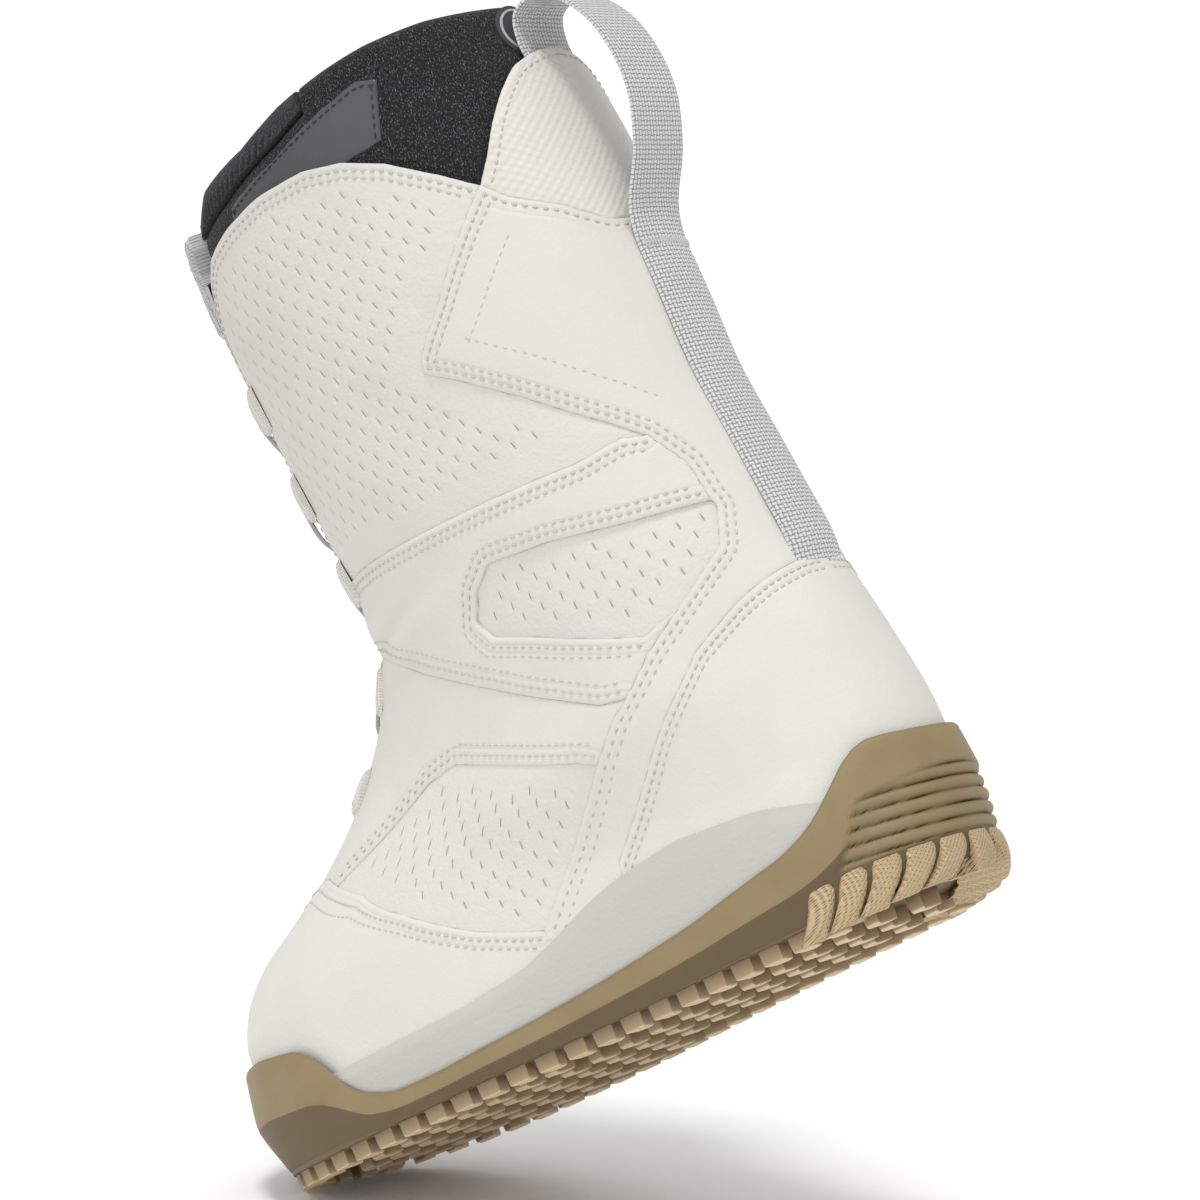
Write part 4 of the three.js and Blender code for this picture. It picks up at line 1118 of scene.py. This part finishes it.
def add_badge():
    """A blank round badge on the liner's back, with a light ring."""
    turns = np.arange(40) / 40 * 2 * math.pi

    def circle(radius, lift):
        y, z = BADGE_CENTRE[0] + radius * np.cos(turns), BADGE_CENTRE[1] + radius * np.sin(turns)
        return on_form(rear_angle(y, z), z, lift)

    disc = [circle(*ring) for ring in ((0.01, -4.5), (9.6, -4.5), (9.6, -3.5), (9.2, -3.3),
                                       (0.01, -3.3))]
    faces = grid_faces(len(disc), len(turns), wrap_columns=True)
    add_mesh("liner_badge_blank", np.concatenate(disc), faces, LINER_THREAD,
             "shell", ("liner_badge",))
    band = [circle(*ring) for ring in ((7.3, -3.35), (7.4, -3.05), (8.1, -3.05), (8.2, -3.35))]
    faces = grid_faces(len(band), len(turns), wrap_rows=True, wrap_columns=True)
    add_mesh("liner_badge_ring", np.concatenate(band), faces, RING, "shell")


def add_lining():
    def top(t):
        return np.interp(t, [0, 0.04, 0.1, 0.16, 0.28, 0.45, 0.58, 0.8, 0.9, 0.94, 1],
                         [295, 288, 268, 257, 275, 286, 287, 282, 266, 258, 256])

    columns = 240
    low = 24.0
    shares = np.linspace(0, 1, columns)
    t = (1 + np.cos(round_the_back(shares, np.full(columns, 280.0)))) / 2
    high = top(t)
    rows = []
    steps = np.linspace(0, 1, 40)
    for offset, order in ((-2.2, steps), (-3.7, steps[::-1])):
        for share in order:
            z = low + (high - low) * share
            rows.append(on_form(round_the_back(shares, z), z, offset))
    faces = grid_faces(len(rows), columns, wrap_rows=True) + cap_faces(len(rows), columns)
    add_mesh("shell_lining_cloth", np.concatenate(rows), faces, LINING, "shell",
             ("shell_lining",))


# ---- tongue, guides and lace ---------------------------------------------------------------
def add_front_pad(name, middle, half, low, high, outer, back, edge, spacing, material,
                  body, replaces=()):
    """A pad on the front of the form, over y and height, with a rounded edge."""
    widest = float(np.max(half(np.array([low, high]))))
    columns = max(int(2 * widest / spacing), 4)
    rows = max(int((high - low) / spacing), 4)
    eased = np.sin(np.linspace(-math.pi / 2, math.pi / 2, rows)) * 0.5 + 0.5
    z = (low + (high - low) * (0.35 * eased + 0.65 * np.linspace(0, 1, rows)))[:, None]
    across = np.linspace(-1, 1, columns)
    across = (0.75 * across + 0.25 * np.sin(across * math.pi / 2))[None, :]
    y = middle(z) + half(z) * across
    rim = np.minimum((1 - np.abs(across)) * half(z), np.minimum(z - low, high - z))
    short = np.clip(edge - rim, 0, edge)
    angle = front_angle(y, z)
    z = z + 0 * y
    top = on_form(angle, z, outer(y, z) - (edge - np.sqrt(edge ** 2 - short ** 2)))
    bottom = on_form(angle, z, back(y, z))
    points = np.concatenate([top.reshape(-1, 3), bottom.reshape(-1, 3)])
    weave = np.tile(np.stack([y.ravel(), z.ravel(), 0 * y.ravel()], -1), (2, 1))
    return add_mesh(name, points, two_sided(rows, columns), material, body, replaces,
                    {"weave": weave})


def add_tongue():
    def throat(z):
        return THROAT_LINE(z) - 1.2

    def flat(value):
        return lambda y, z: 0 * y + value

    def centred(z):
        return 0 * z

    def trim_half(z):
        return THROAT_LINE(z) - 1.4 + 4.5 * blend(289, 296, z)

    def quilted(y, z):
        return -0.5 + 0.5 * np.abs(np.cos((z - 0.1 * y * y / 10) / 34 * math.pi)) ** 0.5

    def trim_back(y, z):
        return np.where(z > 284.8, -7.0, -0.25)

    pad = add_front_pad("tongue_pad_foam", centred, throat, 89.5, 284.5, flat(-2.1), flat(-7.3),
                        1.5, 4, FOAM, "tongue", ("tongue_pad",))
    add_front_pad("tongue_facing_cloth", centred, throat, 89.5, 284.5, quilted, flat(-1.7), 0.7,
                  2, TEXTURED_TONGUE, "tongue", ("tongue_facing",))
    add_front_pad("tongue_trim_binding", centred, trim_half, 268, 300, flat(1.1), trim_back, 2.2,
                  1.2, BINDING, "tongue", ("tongue_trim",))
    add_front_pad("tongue_mesh_insert", centred, lambda z: trim_half(z) - 5, 273.5, 295,
                  flat(1.5), flat(0.6), 0.6, 1.2, MESH, "tongue", ("tongue_mesh",))
    behind = add_front_pad("liner_tongue_padding", centred, throat, 89.5, 305,
                           lambda y, z: -8.3 + 0.5 * np.cos(z / 17), flat(-15.6), 3.2, 3, LINER,
                           "inner_tongue", ("liner_tongue",))


GUIDE_ROWS = (238, 206, 174, 138, 112)
GUIDE_WIDTH = 8.0
GUIDE_HEIGHT = 16.0
CHANNEL_LIFT = 1.9


def guide_row(index):
    z = GUIDE_ROWS[index]
    slope = float(FRONT(z + 4) - FRONT(z - 4)) / 8
    half = GUIDE_HEIGHT / 2 / math.hypot(1, slope)
    inner = float(THROAT_LINE(z)) + 1.5
    return z, half, inner, inner + 0.55 * GUIDE_WIDTH


def add_guides():
    for index in range(len(GUIDE_ROWS)):
        z, half, inner, _ = guide_row(index)

        def hump(y, level, z=z, half=half):
            share = np.clip(1 - ((level - z) / half) ** 2, 0, 1)
            return 1.0 + 1.9 * np.sqrt(share)

        for side, sign in SIDES:
            add_front_pad(f"lace_guide_{side}_{index + 1}_webbing",
                          lambda z, sign=sign, inner=inner: 0 * z + sign * (inner + 4),
                          lambda z: 0 * z + 4.2, z - half, z + half, hump,
                          lambda y, z: 0 * y + 0.4, 0.8, 0.9, GUIDE, "shell",
                          (f"lace_guide_{side}_{index + 1}",))


def smooth_path(points, pitch):
    """A centripetal curve through points, sampled at an even pitch."""
    points = np.asarray(points, float)
    ends = (2 * points[0] - points[1], 2 * points[-1] - points[-2])
    padded = np.concatenate([ends[:1], points, ends[1:]])
    samples = []
    for i in range(len(points) - 1):
        a, b, c, d = padded[i:i + 4]
        knots = np.concatenate([[0], np.cumsum([max(np.linalg.norm(q - p), 1e-6) ** 0.5
                                                for p, q in ((a, b), (b, c), (c, d))])])
        for at in np.linspace(knots[1], knots[2], 12, endpoint=False):
            ab = a + (b - a) * (at - knots[0]) / (knots[1] - knots[0])
            bc = b + (c - b) * (at - knots[1]) / (knots[2] - knots[1])
            cd = c + (d - c) * (at - knots[2]) / (knots[3] - knots[2])
            abc = ab + (bc - ab) * (at - knots[0]) / (knots[2] - knots[0])
            bcd = bc + (cd - bc) * (at - knots[1]) / (knots[3] - knots[1])
            samples.append(abc + (bcd - abc) * (at - knots[1]) / (knots[2] - knots[1]))
    return resampled(np.array(samples + [points[-1]]), pitch)


REEL_ANGLE = math.radians(-98)
REEL_HEIGHT = 222.0
LACE_RADIUS = 0.8
LACE_PITCH = 1.6                # between the rings of the lace's mesh


def reel_frame():
    """Columns are the reel's own axes: towards the toe, up the cuff and out of it."""
    out = form_normal(REEL_ANGLE, REEL_HEIGHT)
    along = np.cross((0, 0, 1), out)
    along /= np.linalg.norm(along)
    return np.stack([along, np.cross(out, along), out], -1), form_point(REEL_ANGLE, REEL_HEIGHT)


def reel_point(radius, degrees, height):
    axes, origin = reel_frame()
    turn = math.radians(degrees)
    return origin + axes @ np.array([radius * math.cos(turn), radius * math.sin(turn), height])


def guide_turn(index, side):
    z, half, inner, deep = guide_row(index)
    return [on_form(front_angle(side * y, z + share * half), z + share * half, CHANNEL_LIFT)
            for y, share in ((inner, 0.5), (deep, 0.45), (deep, -0.45), (inner, -0.5))]


def crossing(from_row, from_side, to_row, to_side, lift):
    """The lace over the tongue, between two guides."""
    from_z, from_half, from_inner, _ = guide_row(from_row)
    to_z, to_half, to_inner, _ = guide_row(to_row)
    down = 1 if to_row > from_row else -1
    start = np.array([from_side * from_inner, from_z - down * 0.5 * from_half])
    end = np.array([to_side * to_inner, to_z + down * 0.5 * to_half])
    spots = [start + (end - start) * share for share in (0.3, 0.5, 0.7)]
    return [on_form(front_angle(y, z), z, lift) for y, z in spots]


def add_lace():
    """One cord from the reel down through the guides and back, held all the way."""
    last = len(GUIDE_ROWS) - 1
    top_z, top_half, top_inner, _ = guide_row(0)
    points = [reel_point(11.1, 50, 7.1), reel_point(22, 50, 5.2)]
    points += [on_form(math.radians(turn), GUIDE_ROWS[0] + up, 2.4)
               for turn, up in ((-72, 10), (-60, 13), (-49, 15), (-37, 16))]
    for y in (-24, -12, 0, 12):
        z = top_z + 16 - (y + 24) * 0.16
        points.append(on_form(front_angle(y, z), z, 1.5))
    for row in range(last + 1):
        side = 1 if row % 2 == 0 else -1
        points += guide_turn(row, side)
        if row < last:
            points += crossing(row, side, row + 1, -side, 1.5)
    low_z, low_half, _, _ = guide_row(last)
    low_z -= 0.5 * low_half
    points.append(on_form(front_angle(0.0, low_z), low_z, 1.5))
    for row in range(last, -1, -1):
        side = -1 if row % 2 == 0 else 1
        turn = guide_turn(row, side)[::-1]
        if row > 0:
            points += turn + crossing(row, side, row - 1, -side, 3.6)
        else:
            points += turn[:3]
    leave = top_z + 0.45 * top_half
    points.append(on_form(front_angle(-(top_inner + GUIDE_WIDTH) - 3, leave), leave, 2.4))
    points += [on_form(math.radians(-60), leave - 3, 2.8),
               on_form(math.radians(-70), leave - 8, 3.2),
               reel_point(22, 12, 5.2), reel_point(11.1, 12, 7.1)]
    path = smooth_path(points, LACE_PITCH)
    tube, faces = swept_tube(path, LACE_RADIUS)
    turns = np.arange(TUBE_SIDES) / TUBE_SIDES * 2 * math.pi
    ring = np.tile(turns * LACE_RADIUS, len(path))
    length = np.repeat(np.arange(len(path)) * LACE_PITCH, TUBE_SIDES)
    weave = np.stack([ring, length, 0 * ring], -1)
    add_mesh("lace_cord", tube, faces, LACE, "shell", ("lace",), {"weave": weave})


# ---- rear webbing --------------------------------------------------------------------------
WEBBING_HALF = 12.5
WEBBING_THICKNESS = 1.5
WEBBING_PITCH = 1.3             # between the rows of the webbing's mesh
LOOP_REACH = 25.0
TACK_HEIGHT = 225.0


def add_webbing():
    """The strap on the boot's back and its pull loop, as one ribbon with bar tacks."""
    strap = [(109, -0.9), (113.5, 0.1), (118, 1.5)] + [(z, 2.4) for z in range(126, 226, 8)]
    strap += [(228, 2.6)]
    loop = [(238, 0.2 * LOOP_REACH), (254, 0.62 * LOOP_REACH), (270, 0.92 * LOOP_REACH),
            (286, LOOP_REACH), (299, 0.93 * LOOP_REACH), (309, 0.7 * LOOP_REACH),
            (314, 0.35 * LOOP_REACH), (312, 0.04 * LOOP_REACH), (303, -2.9), (290, -2.9)]
    side_view = np.array([(float(BACK(z)) - off, z) for z, off in strap + loop])
    path = smooth_path(side_view, WEBBING_PITCH)
    tangent = np.gradient(path, axis=0)
    tangent /= np.linalg.norm(tangent, axis=1, keepdims=True)
    normal = np.stack([-tangent[:, 1], tangent[:, 0]], -1)
    y = np.linspace(-WEBBING_HALF, WEBBING_HALF, 21)
    length = np.arange(len(path)) * WEBBING_PITCH
    on_boot = 1 - blend(112, 150, length)
    level = np.clip(path[:, 1], 30, 300)[:, None]
    bowed = on_form(rear_angle(y[None, :], level), level, 2.4)[..., 0]
    bow = (bowed - bowed[:, 10:11]) * on_boot[:, None]
    rounding = 0.3 * (np.abs(y) / WEBBING_HALF) ** 16
    rows = []
    for sign in (1, -1):
        thick = sign * (WEBBING_THICKNESS / 2 - rounding)
        x = path[:, :1] + bow + normal[:, :1] * thick[None, :]
        z = path[:, 1:] + normal[:, 1:] * thick[None, :]
        rows.append(np.stack([x, np.broadcast_to(y, x.shape), z], -1))
    count, columns = len(path), len(y)
    points = np.concatenate([side.reshape(-1, 3) for side in rows])
    weave = np.stack([np.tile(y, count), np.repeat(length, columns), np.zeros(count * columns)],
                     -1)
    add_mesh("rear_webbing_strap", points, two_sided(count, columns), WEBBING,
             "shell", ("rear_webbing",), {"weave": np.tile(weave, (2, 1))})
    across = np.arange(-10.5, 10.6, 1.2)
    angle = rear_angle(across, TACK_HEIGHT)
    up = np.tile((0.0, 0.0, 1.0), (len(across), 1))
    points, faces = stitch_block(on_form(angle, TACK_HEIGHT, 3.15), up,
                                 form_normal(angle, TACK_HEIGHT), 3.0, 0.5)
    add_mesh("rear_webbing_tack", points, faces, TACK, "shell")


# ---- reel ----------------------------------------------------------------------------------
def turned(name, profile, material, body, replaces, ridges=0, depth=0.0):
    """A piece turned about the reel's axis from (radius, height) points."""
    axes, origin = reel_frame()
    sides = 160 if ridges else 96
    turns = np.arange(sides) / sides * 2 * math.pi
    rows = []
    for radius, height, cut in profile:
        reach = radius - cut * depth * (0.5 + 0.5 * np.cos(turns * ridges)) if ridges else radius
        ring = np.stack([reach * np.cos(turns), reach * np.sin(turns), 0 * turns + height], -1)
        rows.append(origin + ring @ axes.T)
    faces = grid_faces(len(rows), sides, wrap_columns=True, wrap_rows=profile[0][0] > 1)
    return add_mesh(name, np.concatenate(rows), faces, material, body, replaces, crease=35)


def add_reel():
    turned("reel_base_foot", [(0.01, -0.5, 0), (18, -0.5, 0), (18, 1.8, 0), (17.4, 2.5, 0),
                              (16.6, 2.8, 0), (0.01, 2.8, 0)],
           PLASTIC, "shell", ("reel_base",))
    turned("reel_housing_cup", [(11.9, 3.9, 0), (11.9, 10.3, 0), (13.1, 10.4, 0), (13.5, 10, 0),
                                (13.5, 3.2, 0), (2.8, 3.2, 0), (2.8, 3.9, 0)],
           PLASTIC, "shell", ("reel_housing",))
    turned("reel_knob_cap", [(0.01, 12.8, 0), (5.2, 12.8, 0), (5.2, 11.3, 0), (13.95, 11.3, 0),
                             (13.95, 8.5, 0), (15.4, 8.5, 0), (15.4, 15.8, 0), (14.9, 16.6, 0),
                             (13.6, 17, 0), (11, 17, 0), (10.6, 16.6, 0), (10.2, 16.6, 0),
                             (9.8, 17, 0), (0.01, 17.2, 0)],
           PLASTIC, "knob", ("reel_knob",))
    turned("reel_grip_rubber", [(15.7, 9.7, 0), (17, 9.7, 1), (17.3, 10.2, 1), (17.3, 14.7, 1),
                                (17, 15.2, 1), (15.7, 15.2, 0)],
           RUBBER, "knob", ("reel_grip",), ridges=20, depth=0.8)


def finish_plain_nodes():
    """CAD pieces that keep their own shape."""
    for node, material, slot in (
            ("shank", SHANK, "shank_composite"), ("lasting_board", BOARD, "board_fibre"),
            ("liner_sole", FOAM, "foam"), ("footbed", FOOTBED, "foam"),
            ("reel_screw", STEEL, "steel"), ("reel_spool", INNER, "reel_inner"),
            ("reel_lace_wrap", INNER, "lace_cord"), ("reel_pawl_disc", STEEL, "steel")):
        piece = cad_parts[node]
        piece.data.materials.clear()
        piece.data.materials.append(material)


# ---- camera, light and floor ---------------------------------------------------------------
def add_stage():
    turn, lift, roll = math.radians(36), math.radians(11.2), math.radians(21)
    target = Vector((-45.5, 0, 135)) * MM
    distance = 1.7
    back = Vector((-math.sin(turn) * math.cos(lift), math.cos(turn) * math.cos(lift),
                   -math.sin(lift)))
    level = Vector((-math.cos(turn), -math.sin(turn), 0))
    upright = Vector((-math.sin(turn) * math.sin(lift), math.cos(turn) * math.sin(lift),
                      math.cos(lift)))
    right = math.cos(roll) * level - math.sin(roll) * upright
    up = math.sin(roll) * level + math.cos(roll) * upright
    camera = bpy.data.objects.new("camera", bpy.data.cameras.new("camera"))
    camera.data.lens = 160.65
    camera.data.sensor_width = 36
    camera.matrix_world = Matrix.Translation(target + back * distance) @ Matrix(
        (right, up, back)).transposed().to_4x4()
    bpy.context.scene.collection.objects.link(camera)
    bpy.context.scene.camera = camera

    tip = Vector(form_point(0.0, 9.0)) * MM
    tilt = math.radians(7.5)
    floor_up = (math.cos(tilt) * up + math.sin(tilt) * back).normalized()
    far = 40.0
    floor = bpy.data.meshes.new("floor")
    centre = tip - floor_up * 0.004
    ahead = floor_up.cross(right).normalized()
    # The floor's left is cut off, so that it hides less of the boot from in front.
    corners = ((-0.2, 0), (-0.2, -far), (far, -far), (far, far), (-6.2, far))
    floor.from_pydata([tuple(centre + right * a + ahead * b) for a, b in corners], [],
                      [tuple(range(len(corners)))])
    ground = bpy.data.objects.new("floor", floor)
    paper = bpy.data.materials.new("paper")
    paper.use_nodes = True
    surface = paper.node_tree.nodes["Principled BSDF"]
    surface.inputs["Base Color"].default_value = (0.94, 0.94, 0.94, 1)
    surface.inputs["Roughness"].default_value = 0.9
    floor.materials.append(paper)
    bpy.context.scene.collection.objects.link(ground)

    world = bpy.data.worlds.new("studio")
    world.use_nodes = True
    world.node_tree.nodes["Background"].inputs["Color"].default_value = (1, 1, 1, 1)
    world.node_tree.nodes["Background"].inputs["Strength"].default_value = 0.72
    bpy.context.scene.world = world

    # Each sun's direction, strength and angular size in degrees.
    for name, place, strength, softness in (
            ("key", -0.12 * right + 1.0 * up + 0.3 * back, 1.3, 12),
            ("front", -0.8 * right + 0.35 * up + 1.0 * back, 0.6, 70),
            ("under", 0.5 * right - 0.8 * up + 1.0 * back, 0.1, 60)):
        data = bpy.data.lights.new(name, "SUN")
        data.energy = strength
        data.angle = math.radians(softness)
        light = bpy.data.objects.new(name, data)
        light.rotation_mode = "QUATERNION"
        light.rotation_quaternion = (-place).to_track_quat("-Z", "Y")
        bpy.context.scene.collection.objects.link(light)
    bpy.context.scene.view_settings.view_transform = "Standard"


add_upper()
add_lining()
add_outsole()
add_rand()
add_liner()
add_tongue()
add_guides()
add_lace()
add_webbing()
add_reel()
finish_plain_nodes()
add_stage()
